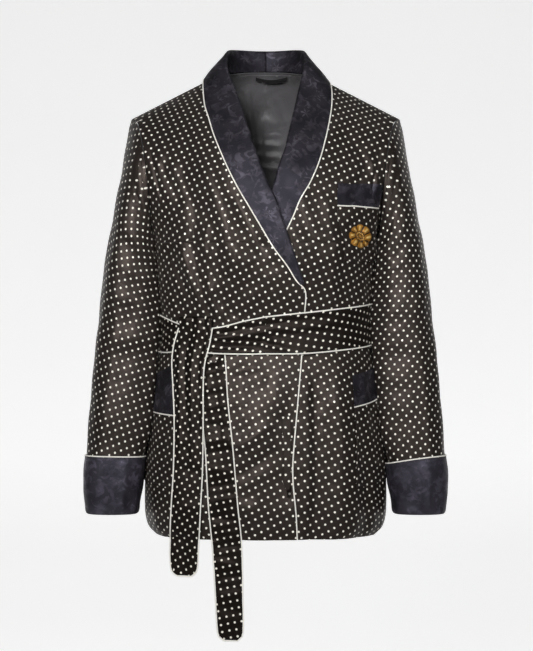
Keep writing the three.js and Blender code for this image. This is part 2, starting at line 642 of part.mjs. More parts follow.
// Back: its top row follows the neckline between the shoulder seams
const NECK_SHARE = 0.264;
const NECK_COLUMNS = [-0.87, -0.6, -0.3, 0, 0.3, 0.6, 0.87];
const backShares = [
  ...spaced(8, -1, -NECK_SHARE, (share) => share),
  ...NECK_COLUMNS.map((share) => share * NECK_SHARE),
  ...spaced(8, NECK_SHARE, 1, (share) => share),
];

function neckLevel(share) {
  const height = (level) => {
    const point = torsoPoint("back", level, share);
    const neckline = NECK_BACK_Z - (NECK_BACK_Z - NECK_SIDE.z) * (point.x / NECK_SIDE.x) ** 2;
    return point.z - neckline;
  };
  return height(0) > 0 ? solve(height, 0, 0, 1) : 0;
}

const backGrid = levels.map((level) => backShares.map((share) => {
  const start = Math.abs(share) < NECK_SHARE + 0.01 ? neckLevel(share) : 0;
  return torsoPoint("back", level < 1 ? mix(start, 1, level) : level, share);
}));
add("back", "silk", cloth(backGrid, WALL, false, shoulderNormals(backGrid)));

// Sleeves
function sleeveFold(place01, degrees) {
  let lift = 0;
  for (const fold of SLEEVE_FOLDS) {
    const turn = ((degrees - fold.side + 540) % 360) - 180;
    const round = Math.exp(-((turn / fold.spread) ** 2));
    lift += fold.height * round * Math.exp(-(((place01 - fold.place) / fold.width) ** 2));
  }
  return lift;
}

function sleevePoint(side, t, angle) {
  const rows = SLEEVE_ROWS.map((row, i) => ({ ...row, place: i / (SLEEVE_ROWS.length - 1) }));
  const get = (key) => read(rows, "place", key, t);
  const cos = Math.cos(angle);
  const level = Math.abs(((angle / Math.PI + 1) % 2) - 1);
  const straight = mix(ARMPIT.x, SHOULDER_TIP.x, (1 + cos) / 2);
  const bow = (armholeX(level) - straight) * get("armhole");
  const lift = sleeveFold(t, (angle * 180) / Math.PI);
  const outHalf = (get("outX") - get("inX")) / 2;
  const x = (get("outX") + get("inX")) / 2 + (outHalf + lift * Math.abs(cos)) * cos + bow;
  const z = (get("outZ") + get("inZ")) / 2 + ((get("outZ") - get("inZ")) / 2) * cos;
  const y = get("midY") - (get("halfDepth") + lift) * Math.sin(angle);
  return new THREE.Vector3(side * x, y, z);
}

function ringAngles(columns) {
  return Array.from({ length: columns }, (_, c) => (2 * Math.PI * c) / columns);
}

const SIDES = { right: -1, left: 1 };
for (const [name, side] of Object.entries(SIDES)) {
  const grid = spaced(SLEEVE_RINGS - 1, 0, 1, (t) => (
    ringAngles(SLEEVE_COLUMNS).map((angle) => sleevePoint(side, t, angle))
  ));
  add(`sleeve_${name}`, "silk", cloth(grid, WALL, true));
}

// Cuffs, with a cord along the top edge
function cuffPoint(side, row, angle) {
  const half = (row.outX - row.inX) / 2 - row.inward;
  const middle = (row.outX + row.inX) / 2;
  const y = CUFF_MID_Y - (row.halfDepth - row.inward) * Math.sin(angle);
  return new THREE.Vector3(side * (middle + half * Math.cos(angle)), y, row.z);
}

for (const [name, side] of Object.entries(SIDES)) {
  const grid = CUFF_ROWS.map((row) => ringAngles(CUFF_COLUMNS).map((angle) => cuffPoint(side, row, angle)));
  add(`cuff_${name}`, "jacquard", cloth(grid, COLLAR_WALL, true));
  const top = grid[0].map((point) => point.clone().setZ(point.z + CORD_RADIUS + SEAM_GAP));
  add(`piping_cuff_${name}`, "piping", cord(top, true));
}

// Collar: from the neck seam or the tuck behind the front's edge, over the fold, out to the edge
function collarLine(panel, side, station) {
  const onFront = ([x, y, z], lift) => {
    if (y !== null) return new THREE.Vector3(side * x, y, z);
    return pointOn(panel, side * x, z, lift);
  };
  const roll = onFront(station.roll, 0);
  const edge = onFront(station.edge, COLLAR_LIFT);
  const width = roll.distanceTo(edge);
  const fold = Math.min(COLLAR_FOLD, width / 3);
  const inward = Math.min(COLLAR_TUCK, width * 0.7) / width;
  const tuckX = mix(station.roll[0], station.edge[0], inward);
  const tuckZ = mix(station.roll[2], station.edge[2], inward);
  const seam = station.seam
    ? new THREE.Vector3(side * station.seam[0], station.seam[1], station.seam[2])
    : pointOn(panel, side * tuckX, tuckZ, -fold);
  const tip = roll.clone().sub(seam.clone().add(edge).multiplyScalar(0.5)).normalize();
  const outer = edge.clone().sub(seam);
  outer.addScaledVector(tip, -outer.dot(tip)).normalize();
  const at = (back, out) => roll.clone().addScaledVector(tip, -back * fold).addScaledVector(outer, out * fold);
  const line = [seam, seam.clone().lerp(at(1.6, -1), 0.6), at(0.9, -1), at(0.25, -0.65), at(0, 0)];
  line.push(at(0.25, 0.65), at(1, 1));
  const start = line[line.length - 1];
  for (let i = 1; i <= COLLAR_ACROSS; i += 1) {
    const share = i / COLLAR_ACROSS;
    const point = start.clone().lerp(edge, share);
    if (station.edge[1] === null && station.roll[1] === null) {
      line.push(pointOn(panel, point.x, point.z, COLLAR_LIFT));
    } else {
      point.addScaledVector(outer, 4 * share * (1 - share) * COLLAR_BULGE);
      line.push(point);
    }
  }
  return line;
}

const collarGrids = Object.fromEntries(Object.entries(SIDES).map(([name, side]) => [
  name,
  COLLAR_STATIONS[name].map((station) => collarLine(`front_${name}`, side, station)),
]));
for (const [name, grid] of Object.entries(collarGrids)) {
  add(`collar_${name}`, "jacquard", cloth(grid, COLLAR_WALL));
  const frontEdge = frontGrids[`front_${name}`].map((line) => [line[1], line[0]]);
  const [lastX, , lastZ] = COLLAR_STATIONS[name][grid.length - 1].roll;
  const turnX = SIDES[name] * (lastX - CORD_TURN.out);
  const turn = pointOn(`front_${name}`, turnX, lastZ - CORD_TURN.down, CORD_TURN.lift);
  const below = frontEdge.filter((line) => line[1].z < turn.z - CORD_TURN.down);
  const cordPath = [...beside(grid), turn, ...beside(below)];
  add(`piping_front_${name}`, "piping", cord(cordPath));
}

// Pockets, each with a band across its top and a cord under the band
function pocketGrid(pocket, from, to, shifts, steps, lift) {
  const { front, side, columns, frontEdge, sideEdge } = pocket;
  const girthAt = (edge, z) => mix(edge.girthTop, edge.girthBottom, (z - edge.top) / (edge.bottom - edge.top));
  return spaced(steps, 0, 1, (down) => spaced(columns, 0, 1, (share) => {
    const frontZ = mix(frontEdge[from] + shifts[0], frontEdge[to] + shifts[1], down);
    const sideZ = mix(sideEdge[from] + shifts[0], sideEdge[to] + shifts[1], down);
    const girth = mix(girthAt(frontEdge, frontZ), girthAt(sideEdge, sideZ), share);
    return pointRound(front, side * girth, mix(frontZ, sideZ, share), lift);
  }));
}

const cordRoom = CORD_RADIUS + SEAM_GAP;
for (const [name, pocket] of Object.entries(POCKETS)) {
  const bandLift = pocket.lift + BAND_OVER_POCKET;
  const body = pocketGrid(pocket, "band", "bottom", [-cordRoom, 0], pocket.rows, pocket.lift);
  const band = pocketGrid(pocket, "top", "band", [0, cordRoom], 2, bandLift);
  add(`pocket_${name}`, "silk", cloth(body));
  add(`band_${name}`, "jacquard", cloth(band, COLLAR_WALL));
  add(`piping_pocket_${name}`, "piping", cord(pocketGrid(pocket, "band", "band", [0, 0], 1, bandLift)[0]));
}

// Rosette on the chest pocket
const rosetteGrid = spaced(2, 0.12, 1, (reach) => ringAngles(ROSETTE.petals * 3).map((angle) => {
  const petal = 1 - ROSETTE.scallop * (1 - Math.abs(Math.cos((angle * ROSETTE.petals) / 2))) * reach;
  const x = ROSETTE.x + ROSETTE.halfWidth * reach * petal * Math.cos(angle);
  const z = ROSETTE.z + ROSETTE.halfHeight * reach * petal * Math.sin(angle);
  return pointOn("front_left", x, z, POCKETS.chest.lift + ROSETTE.lift);
}));
add("rosette", "gold", cloth(rosetteGrid, ROSETTE.wall, true));

// Belt band, all the way round, pinched where the knot holds it
function waistPoint(turn, z, lift) {
  const quarter = ((turn % 1) + 1) % 1;
  const level = 1 + (z - ARMPIT.z) / (HEM_Z - ARMPIT.z);
  const facing = quarter < 0.25 || quarter > 0.75 ? "front" : "back";
  const share = facing === "front" ? (quarter < 0.5 ? quarter * 4 : (quarter - 1) * 4) : 2 - quarter * 4;
  const row = torsoRow(level);
  const out = across(row, Math.abs(share));
  const bend = Math.cos(row.turn * evenly(Math.abs(share))) ** ROUND;
  const forward = facing === "front" ? -1 : 1;
  const x = Math.sign(share) * row.halfWidth * out;
  const y = torsoDepth(facing, row, x) * bend * forward;
  const away = new THREE.Vector3(x / row.halfWidth ** 2, y / torsoDepth(facing, row, x) ** 2, 0).normalize();
  return new THREE.Vector3(x, SIDE_Y + y, z).addScaledVector(away, lift);
}

const beltGrid = spaced(4, 1, -1, (height) => spaced(BELT_COLUMNS - 1, 0, 1 - 1 / BELT_COLUMNS, (turn) => {
  const z = read(BELT_ROWS, "turn", "z", turn) + height * read(BELT_ROWS, "turn", "half", turn);
  const knot = Math.exp(-(((turn - KNOT.turn) / KNOT.spread) ** 2));
  return waistPoint(turn, z, BELT_LIFT + KNOT.lift * knot);
}));
add("belt_band", "silk", cloth(beltGrid, WALL, true));
for (const [name, line, up] of [["upper", beltGrid[0], 1], ["lower", beltGrid[beltGrid.length - 1], -1]]) {
  const path = line.map((point) => point.clone().setZ(point.z + up * (CORD_RADIUS + SEAM_GAP)));
  add(`piping_belt_${name}`, "piping", cord(path, true));
}

// Belt ends. They lie on the front and hang free below its hem.
function inFront(x, z, lift) {
  let under = x;
  let point = pointOn("front_right", under, z, lift);
  for (let i = 0; i < 4; i += 1) {
    under -= point.x - x;
    point = pointOn("front_right", under, z, lift);
  }
  return point;
}

function tailLine(x1, x2, z, lift) {
  const heldZ = Math.max(z, HEM_Z);
  const middle = inFront((x1 + x2) / 2, heldZ, lift);
  return spaced(TAIL_ACROSS, 0, 1, (share) => {
    const x = mix(x1, x2, share);
    const lying = inFront(x, heldZ, lift);
    const stiff = z < HEM_Z ? TAIL_STIFFNESS.hanging : TAIL_STIFFNESS.tied * smooth((lift - 3) / 6);
    return new THREE.Vector3(x, Math.min(lying.y, mix(lying.y, middle.y, stiff)), z);
  });
}

function tailGrid(rows, steps) {
  const straight = rows[rows.length - 1 - TAIL_END_ROWS];
  const zs = [...spaced(steps, rows[0].z, straight.z, (z) => z), ...rows.slice(-TAIL_END_ROWS).map((row) => row.z)];
  return zs.map((z) => tailLine(read(rows, "z", "x1", z), read(rows, "z", "x2", z), z, read(rows, "z", "lift", z)));
}

// Cord down one long edge, round the end and up the other
function roundTail(grid) {
  const down = grid.map((line) => line[0]);
  const up = grid.map((line) => line[line.length - 1]).reverse();
  const path = [...down, ...up];
  return path.map((point, i) => {
    const along = path[Math.min(i + 1, path.length - 1)].clone().sub(path[Math.max(i - 1, 0)]);
    along.setY(0).normalize();
    const out = new THREE.Vector3(along.z, 0, -along.x);
    return point.clone().addScaledVector(out, CORD_RADIUS + SEAM_GAP);
  });
}

const top = TAIL_FRONT_ROWS[0];
const foldGrid = KNOT_FOLD.map((row) => tailLine(top.x1, top.x2, row.z, row.lift));
const frontTail = tailGrid(TAIL_FRONT_ROWS, 13);
add("belt_tail_front", "silk", cloth([...foldGrid, ...frontTail]));
add("piping_tail_front", "piping", cord(roundTail(frontTail)));

const backTail = tailGrid(TAIL_BACK_ROWS, 16);
add("belt_tail_back", "silk", cloth(backTail));
add("piping_tail_back", "piping", cord(roundTail(backTail)));

// Lining of the back and the loop in the neck
const neckColumns = [...backShares.keys()].filter((c) => Math.abs(backShares[c]) < NECK_SHARE * 0.9);
const backNormals = gridNormals(backGrid, false);
const inside = (r, c, inward) => backGrid[r][c].clone().addScaledVector(backNormals[r][c], -inward);
const liningGrid = spaced(LINING.rows, 0, LINING.rows, (r) => neckColumns.map((c) => {
  if (r > 0) return inside(r, c, LINING.inward);
  return inside(0, c, LINING.top.inward).lerp(inside(1, c, LINING.top.inward), LINING.top.share);
}));
add("lining_back", "lining", cloth(liningGrid, LINING.wall));

const loopGrid = spaced(2, 1, -1, (height) => spaced(LOOP.columns, 0, 1, (share) => {
  const x = mix(LOOP.x1, LOOP.x2, share);
  const sag = 4 * share * (1 - share);
  const inward = LOOP.inward + LOOP.bow * sag;
  return pointOn("back", x, LOOP.z - LOOP.sag * sag + height * LOOP.halfHeight, -inward);
}));
add("hanger_loop", "loop", cloth(loopGrid, LOOP.wall));

export default coat;
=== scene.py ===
# %% [markdown]
# # Short silk wrap coat
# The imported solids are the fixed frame. Each cloth piece is made here once more from the same sizes, on a finer
# grid and with finer folds, and stands for its solid. Sizes are millimetres until a mesh is made.

# %% Frame
import math
import bpy
import numpy as np
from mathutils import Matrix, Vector


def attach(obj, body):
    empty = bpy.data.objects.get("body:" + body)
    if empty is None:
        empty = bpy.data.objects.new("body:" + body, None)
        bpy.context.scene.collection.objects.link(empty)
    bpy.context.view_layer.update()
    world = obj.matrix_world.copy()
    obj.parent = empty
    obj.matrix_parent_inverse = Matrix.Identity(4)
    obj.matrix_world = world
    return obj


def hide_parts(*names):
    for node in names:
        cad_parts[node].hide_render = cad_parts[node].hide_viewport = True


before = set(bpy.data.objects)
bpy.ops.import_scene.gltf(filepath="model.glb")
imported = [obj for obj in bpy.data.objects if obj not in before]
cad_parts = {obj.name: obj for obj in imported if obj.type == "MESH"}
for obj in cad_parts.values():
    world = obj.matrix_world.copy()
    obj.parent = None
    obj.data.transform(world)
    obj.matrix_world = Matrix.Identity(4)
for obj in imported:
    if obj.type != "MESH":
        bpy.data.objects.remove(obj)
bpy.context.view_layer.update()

# %% [markdown]
# ## Sizes
# Half widths and depths of the body, the front edges, and the large folds, as a pattern maker would list them.
# A table keeps the cut in one place, so a wider waist or a longer tail is one number.

# %% Sizes of the torso
def columns(names, rows):
    table = np.array(rows, float)
    return {name: table[:, i] for i, name in enumerate(names.split())}


SEAM_GAP = 0.3
CORD_RADIUS = 1.1
CORD_ROOM = CORD_RADIUS + SEAM_GAP
SIDE_Y = 5
MIDDLE = (0, SIDE_Y, -400)
TIP_X, TIP_Z = 220, -61
NECK_SIDE_X, NECK_SIDE_Z = 75, 13
NECK_BACK_Z = 24
RIDGE_Z = 51
ARMPIT_X, ARMPIT_Z = 183, -268
HEM_Z = -742.5
ARMHOLE_HALF_DEPTH = 75
CHEST_FRONT, CHEST_BACK = 145, 125
QUARTER_GIRTH = 272
ROUND, EVEN = 0.8, 1.25
LAP_FADE = 50
FOLD = "girth1 z1 girth2 z2 width height"
RING = "place side spread width height"

TORSO = columns("z halfWidth front back", [
    (-268, 183, 145, 125), (-284, 183, 144.9, 124.9), (-302, 181.3, 144, 124), (-345, 178.4, 140, 121),
    (-392, 174, 131, 117), (-432, 174.5, 131, 118), (-472, 181, 140, 126), (-524, 187, 147, 134),
    (-600, 196, 152, 141), (-660, 198.3, 154, 144), (-692, 198.5, 155, 146), (-714, 197, 154.5, 145),
    (-731, 191.5, 154, 144), (-742.5, 180, 153, 143),
])

EDGE_RIGHT = columns("z own", [
    (13, 75), (0, 66), (-20, 55), (-44, 43), (-83, 31), (-117, 20), (-146, 10), (-181, -4),
    (-199, -13.5), (-234, -25), (-269, -37), (-304, -49), (-329, -57.5), (-345, -60.5), (-379, -61.3),
    (-445, -56.7), (-523, -50), (-594, -44), (-626, -42), (-655, -42.7), (-702, -47), (-742.5, -49),
])

EDGE_LEFT = columns("z own", [
    (13, 76), (0, 70), (-20, 60.5), (-58, 48.5), (-93, 40), (-124, 33), (-150, 24), (-177, 16),
    (-205, 3), (-250, -17), (-300, -39), (-335, -54), (-379, -58), (-445, -54), (-523, -48),
    (-626, -42), (-742.5, -47),
])

LAP = columns("z inset", [
    (-345, 10), (-390, 7.5), (-440, 5), (-742.5, 4.6),
])

LARGE_FRONT_RIGHT = [
    (-118, -120, -22, -345, 24, 4), (-72, -165, 30, -335, 15, -2.5), (-165, -255, -102, -385, 13, -4),
    (-135, -270, -92, -385, 12, 3.5), (-200, -130, -150, -215, 14, -4),
    (-110, -450, -125, -820, 22, 4), (-68, -450, -66, -820, 18, -3), (20, -520, 26, -690, 12, -3),
    (-15, -500, -5, -820, 20, 3.5), (-195, -450, -215, -820, 24, -5), (-240, -300, -245, -380, 16, 4),
]

LARGE_FRONT_LEFT = [
    (200, -130, 150, -210, 14, -4), (95, -230, 92, -372, 16, 3.5), (165, -280, 142, -368, 15, -4),
    (120, -300, 116, -370, 11, -2.5), (80, -445, 82, -820, 15, -4.5), (115, -450, 122, -820, 20, 4),
    (175, -450, 188, -820, 22, -4.5), (230, -450, 240, -820, 24, 4), (240, -285, 245, -362, 16, 4),
]

LARGE_BACK = [
    (-150, -120, -95, -360, 24, -4), (150, -110, 105, -358, 24, -4), (-50, -230, -40, -358, 18, 4),
    (45, -250, 50, -358, 17, 3.5), (0, -270, 5, -358, 15, -3.5), (-195, -260, -170, -362, 18, 4),
    (200, -270, 175, -358, 18, 4), (-125, -445, -150, -820, 24, 5), (-55, -445, -70, -820, 22, -5),
    (10, -445, 5, -820, 24, 5), (80, -445, 92, -820, 22, -5), (150, -445, 170, -820, 24, 5),
    (215, -445, 232, -820, 22, -4), (-205, -445, -228, -820, 22, -4),
]

SLEEVE_ROWS = columns("outX outZ inX inZ midY halfDepth armhole", [
    (221, -61.5, 185.4, -268.5, 5, 75.5, 1), (227, -86, 185.4, -276, 5, 77, 0.8),
    (236, -140, 184.4, -290, 4, 77, 0.4), (247, -200, 182.5, -306, 1, 74, 0.1),
    (258.5, -266, 180.5, -328, -3, 70, 0), (268.5, -340, 179, -366, -8, 66, 0),
    (276, -408, 179.4, -418, -15, 61.5, 0), (282.5, -478, 184, -480, -22, 57.5, 0),
    (288, -548, 192, -546, -30, 53.5, 0), (291, -617, 198, -614, -37.5, 48.3, 0),
    (293.5, -655, 202, -653, -38, 47.3, 0), (290, -697, 209.6, -697, -38, 42.3, 0),
])

SLEEVE_FOLDS = columns(RING, [
    (0.2, 110, 70, 0.035, -5), (0.33, 70, 80, 0.03, -4), (0.43, 150, 70, 0.03, -4),
    (0.52, 60, 80, 0.028, -3.5), (0.6, 120, 70, 0.028, -4), (0.47, 250, 80, 0.03, -4),
    (0.3, 260, 80, 0.035, -4), (0.7, 300, 80, 0.03, -3),
])

CUFF_ROWS = columns("z outX inX halfDepth inward", [
    (-614.5, 294, 195.3, 51.5, 0), (-638, 296.5, 197.8, 51.5, 0), (-664, 296.8, 201.2, 50, 0),
    (-690, 294.6, 205.4, 47, 0), (-704, 293, 207.3, 45.2, 0), (-707.5, 292.6, 207.6, 45, 3.2),
    (-704, 293, 207.3, 45.2, 6.4), (-686, 294.6, 205.4, 47, 6.8),
])

BELT_ROWS = columns("turn z half", [
    (0, -417.5, 28), (0.055, -414, 31), (0.13, -406, 32), (0.25, -396, 32), (0.375, -394, 31),
    (0.5, -395, 32), (0.625, -399, 31), (0.75, -409, 30), (0.83, -417, 27), (0.895, -424, 18),
    (0.93, -426, 19), (0.97, -421, 25), (1, -417.5, 28),
])

TAIL_FRONT_ROWS = columns("z x1 x2 lift", [
    (-406, -138, -86, 13.8), (-433, -146, -91, 13.4), (-460, -149, -98, 10.6),
    (-489, -147.5, -100.5, 9.4), (-551, -144.5, -100.5, 9), (-632, -145.5, -101.5, 9),
    (-690, -149, -104.5, 9), (-751, -151.5, -107.5, 9), (-785, -150.8, -109.3, 9),
    (-796, -147, -113, 9), (-800, -141, -119, 9),
])

TAIL_BACK_ROWS = columns("z x1 x2 lift", [
    (-424, -112, -72, 2.8), (-444, -109, -67, 2.8), (-470, -107, -64.5, 2.9), (-520, -103, -61.5, 3.1),
    (-600, -94.5, -53, 3.1), (-688, -89.5, -45.5, 3.1), (-751, -83.5, -39, 3.1),
    (-832, -78.5, -37.2, 3.1), (-885, -75.5, -36.5, 3.1), (-897, -72, -39.5, 3.1),
    (-901, -66, -45, 3.1),
])

KNOT_FOLD = columns("z lift", [
    (-417, 4.4), (-397, 4.4), (-389, 7.5), (-387.5, 10.5), (-392, 13.4),
])

COLLAR_RIGHT = [
    ((0.4, 84, 60), (0.4, 101, -9), (0.4, 79.5, 25.5)),
    ((30, 80, 60.5), (42, 95, -8.5), (30, 67.5, 24)),
    ((51, 66, 60), (76, 74, -6), (53, 51, 20.5)),
    ((62, 40, 56), (94, 46, -1), (69, 25, 16.5)),
    ((64.5, 12, 43), (101, 10, 6.5), (74, 2, 15)),
    ((62.5, -14, 20), (101.5, -22, -9.5), (67, -13, 8)),
    ((52.5, -37, -8), (97, None, -44), None),
    ((40, None, -44), (90, None, -66), None),
    ((28.4, None, -83), (81.6, None, -96), None),
    ((17, None, -117), (67.3, None, -132), None),
    ((7.4, None, -146), (53, None, -162), None),
    ((-7, None, -181), (37, None, -190), None),
    ((-16.6, None, -199.5), (25, None, -210), None),
    ((-27.7, None, -234), (4.9, None, -245), None),
    ((-39.7, None, -269), (-14.5, None, -277), None),
    ((-51.5, None, -304), (-36, None, -307), None),
    ((-58.6, None, -325), (-48, None, -327), None),
    ((-61.6, None, -336), (-54.6, None, -336), None),
]

COLLAR_LEFT = [
    ((0.4, 84, 60), (0.4, 101, -9), (0.4, 79.5, 25.5)),
    ((30, 80, 60.5), (42, 95, -8.5), (30, 67.5, 24)),
    ((52, 66, 60), (77, 74, -6), (53, 51, 20.5)),
    ((64, 40, 55), (96, 46, -1), (69, 25, 16.5)),
    ((65.5, 12, 40), (103, 10, 4), (74, 2, 15)),
    ((62.5, -15, 17), (107, -24, -12.5), (66.5, -13, 8.5)),
    ((56, -36, -8), (106, None, -38), None),
    ((48.5, None, -42), (102, None, -66), None),
    ((39, None, -83), (94, None, -106), None),
    ((30.5, None, -119), (83, None, -141), None),
    ((20, None, -149), (69, None, -173), None),
    ((12, None, -179), (55, None, -202), None),
    ((0, None, -205), (44, None, -228), None),
    ((-14, None, -237), (28, None, -256), None),
    ((-28, None, -270), (7, None, -284), None),
    ((-42, None, -300), (-19, None, -309), None),
    ((-53, None, -322), (-40, None, -325), None),
    ((-57, None, -334), (-49.5, None, -335), None),
]

# %% [markdown]
# ## Finer folds
# The solids carry the large folds only. These are the smaller ones: gathers that run into the knot, drag lines
# from the armholes, and the soft waves of the skirt. Each is a line with its own width and height, so no two
# are alike; the back has its own.

# %% Finer folds
FINE_FRONT_RIGHT = [
    (-170, -262, -96, -396, 6, -1.9), (-146, -246, -90, -398, 5.5, 1.7), (-124, -238, -84, -396, 6, -2.1),
    (-98, -230, -79, -394, 5, 1.6), (-70, -244, -72, -392, 6.5, -2), (-40, -262, -64, -390, 6, 1.5),
    (-12, -290, -54, -386, 7, -1.8), (12, -318, -42, -384, 6, 1.2), (-236, -118, -205, -205, 6, -2),
    (-214, -104, -168, -168, 8, 1.6), (-188, -96, -110, -150, 9, -1.3), (-244, -150, -196, -236, 6, 1.6),
    (-130, -70, -84, -128, 10, 1.3), (-95, -60, -66, -140, 7, -1.1), (-150, -180, -70, -262, 11, -1.6),
    (-205, -235, -150, -300, 9, -1.8), (30, -535, 33, -700, 6, -1.8), (4, -470, -2, -640, 8, -1.4),
    (-38, -450, -34, -560, 9, 1.6), (-30, -600, -44, -820, 10, -1.6), (-92, -448, -96, -600, 7, -1.6),
    (-140, -450, -158, -690, 9, -2), (-172, -455, -182, -820, 9, 1.6), (-232, -450, -246, -820, 10, 2),
    (-215, -330, -150, -386, 8, 1.7), (-232, -372, -180, -398, 6, -1.6), (18, -470, 16, -560, 7, 1.2),
    (-128, -102, -26, -337, 15, 4.2), (-163, -118, -80, -345, 12, -3.6), (-61, -186, 4, -301, 9, -3.4),
    (-193, -279, -127, -390, 9, -3), (-139, -273, -102, -393, 8, 3), (-115, -300, -86, -396, 6, -3),
    (-96, -337, -71, -396, 5, 2.6), (-69, -345, -50, -393, 6, -2.2), (33, -500, 34, -679, 7, -3.6),
    (7, -488, -6, -631, 12, 2.6), (-49, -603, 15, -552, 8, 3), (-43, -647, 22, -593, 9, -3),
    (-56, -476, -6, -466, 6, 2.2), (-30, -678, -16, -735, 9, 2.2),
]
FINE_FRONT_LEFT = [
    (236, -112, 206, -196, 6, -2), (214, -100, 160, -160, 8, 1.5), (246, -150, 202, -232, 7, 1.6),
    (128, -70, 92, -130, 10, 1.2), (190, -90, 128, -150, 9, -1.2), (76, -262, 84, -372, 6, -1.7),
    (108, -250, 106, -372, 7, 1.6), (60, -268, 70, -370, 7, 1.3), (132, -300, 128, -372, 5.5, -1.6),
    (188, -300, 166, -370, 8, 1.8), (214, -280, 196, -366, 8, -2.2), (150, -225, 138, -300, 9, 1.4),
    (62, -450, 64, -700, 6, 1.3), (98, -452, 98, -640, 7, -1.7), (140, -452, 150, -820, 9, -1.8),
    (204, -455, 214, -820, 9, 1.8), (158, -452, 164, -600, 7, 1.3), (252, -460, 258, -820, 9, -2),
    (40, -330, 66, -372, 6, -1.2), (228, -330, 170, -372, 7, 1.6),
    (148, -228, 198, -360, 17, -8), (62, -170, 83, -345, 14, 3.6), (111, -193, 105, -297, 9, 2.6),
    (86, -301, 97, -364, 6, -3), (128, -85, 190, -143, 12, -3), (73, -457, 65, -820, 8, -4.4),
    (54, -473, 53, -820, 8, 1.6), (103, -457, 98, -820, 12, 3), (145, -560, 160, -820, 15, -6.5),
    (186, -118, 258, -198, 9, 2.4),
]
FINE_BACK = [
    (-236, -118, -200, -210, 7, -2), (236, -112, 204, -206, 7, -2), (-205, -100, -140, -176, 9, 1.6),
    (206, -96, 146, -170, 9, 1.5), (-100, -64, -60, -150, 10, -1.3), (96, -60, 70, -140, 10, -1.2),
    (-24, -90, -18, -220, 12, 1.2), (30, -110, 24, -240, 11, -1.2), (-120, -262, -98, -360, 8, 1.8),
    (-76, -280, -70, -362, 7, -1.7), (-22, -276, -20, -362, 8, 1.6), (24, -290, 24, -360, 6, 1.5),
    (76, -270, 74, -362, 8, -1.8), (112, -290, 106, -360, 7, 1.7), (150, -270, 138, -362, 8, -2),
    (-160, -290, -144, -362, 7, -1.7), (-228, -300, -205, -362, 8, 1.6), (230, -300, 206, -360, 8, -1.6),
    (-98, -448, -110, -640, 9, 1.9), (-28, -448, -34, -820, 10, 1.8), (34, -448, 38, -600, 8, -1.9),
    (46, -600, 50, -820, 10, 1.8), (112, -450, 122, -820, 9, -2), (182, -450, 196, -700, 9, -1.8),
    (-172, -450, -188, -820, 10, -2.1), (-240, -452, -250, -820, 9, 1.7), (245, -455, 252, -820, 9, 1.7),
]
# Extra crush in the sleeves; the wearer's right sleeve and the left one differ
FINE_SLEEVE = {
    "right": columns(RING, [
        (0.07, 60, 34, 0.018, -1.8), (0.12, 96, 40, 0.02, 1.6), (0.16, 84, 36, 0.014, -2),
        (0.24, 130, 50, 0.018, -2), (0.29, 66, 46, 0.02, 1.8), (0.37, 104, 60, 0.016, -2.2),
        (0.4, 40, 40, 0.014, 1.5), (0.46, 96, 60, 0.018, 1.8), (0.485, 86, 44, 0.014, -2.2),
        (0.56, 70, 50, 0.018, 1.9), (0.585, 110, 44, 0.014, -1.8), (0.65, 80, 50, 0.018, -1.7),
        (0.74, 100, 60, 0.02, 1.5), (0.79, 70, 44, 0.018, -1.6), (0.86, 100, 44, 0.02, -1.4),
        (0.2, 250, 60, 0.02, -2), (0.36, 280, 60, 0.018, 2), (0.41, 240, 60, 0.016, -2.2),
        (0.53, 270, 60, 0.018, -2), (0.62, 240, 60, 0.018, 1.8), (0.76, 280, 60, 0.02, -1.7),
        (0.5, 180, 50, 0.016, -2.4), (0.34, 180, 50, 0.016, -2),
    ]),
    "left": columns(RING, [
        (0.06, 70, 34, 0.018, -1.6), (0.1, 110, 40, 0.02, 1.7), (0.15, 76, 40, 0.016, -1.8),
        (0.22, 100, 50, 0.018, 1.6), (0.27, 120, 46, 0.018, -2.1), (0.35, 70, 60, 0.018, 1.8),
        (0.385, 100, 56, 0.015, -2.2), (0.45, 60, 40, 0.016, -1.6), (0.5, 110, 60, 0.02, 1.8),
        (0.55, 80, 50, 0.014, -2.2), (0.62, 60, 50, 0.02, 1.5), (0.67, 110, 50, 0.016, -1.8),
        (0.73, 70, 50, 0.018, -1.4), (0.81, 100, 60, 0.022, 1.4), (0.88, 80, 44, 0.018, -1.5),
        (0.24, 260, 60, 0.02, -2), (0.33, 240, 60, 0.018, 2), (0.44, 280, 60, 0.016, -2.2),
        (0.56, 250, 60, 0.018, -1.9), (0.66, 280, 60, 0.018, 1.8), (0.72, 240, 60, 0.02, -1.7),
        (0.52, 180, 50, 0.016, -2.4), (0.38, 180, 50, 0.016, -2),
    ]),
}

FOLDS = {
    "front_right": columns(FOLD, LARGE_FRONT_RIGHT + FINE_FRONT_RIGHT),
    "front_left": columns(FOLD, LARGE_FRONT_LEFT + FINE_FRONT_LEFT),
    "back": columns(FOLD, LARGE_BACK + FINE_BACK),
}
print("folds", {panel: len(table["z1"]) for panel, table in FOLDS.items()})

# %% [markdown]
# ## Reading the sizes
# A smooth curve goes through the rows of a table, as a French curve does through the points of a paper
# pattern. The search finds where a falling value reaches its target.

# %% Reading the sizes
def mix(a, b, share):
    return a + (b - a) * share


def smooth(value):
    value = np.clip(value, 0, 1)
    return value * value * (3 - 2 * value)


def bell(away, width):
    return np.exp(-((away / width) ** 2))


def between_ends(share, steep=8):
    return smooth(share * steep) * smooth((1 - share) * steep)


def unit(arrow):
    return arrow / np.maximum(np.linalg.norm(arrow, axis=-1, keepdims=True), 1e-9)


def stacked(*parts):
    return np.stack(np.broadcast_arrays(*parts), -1)


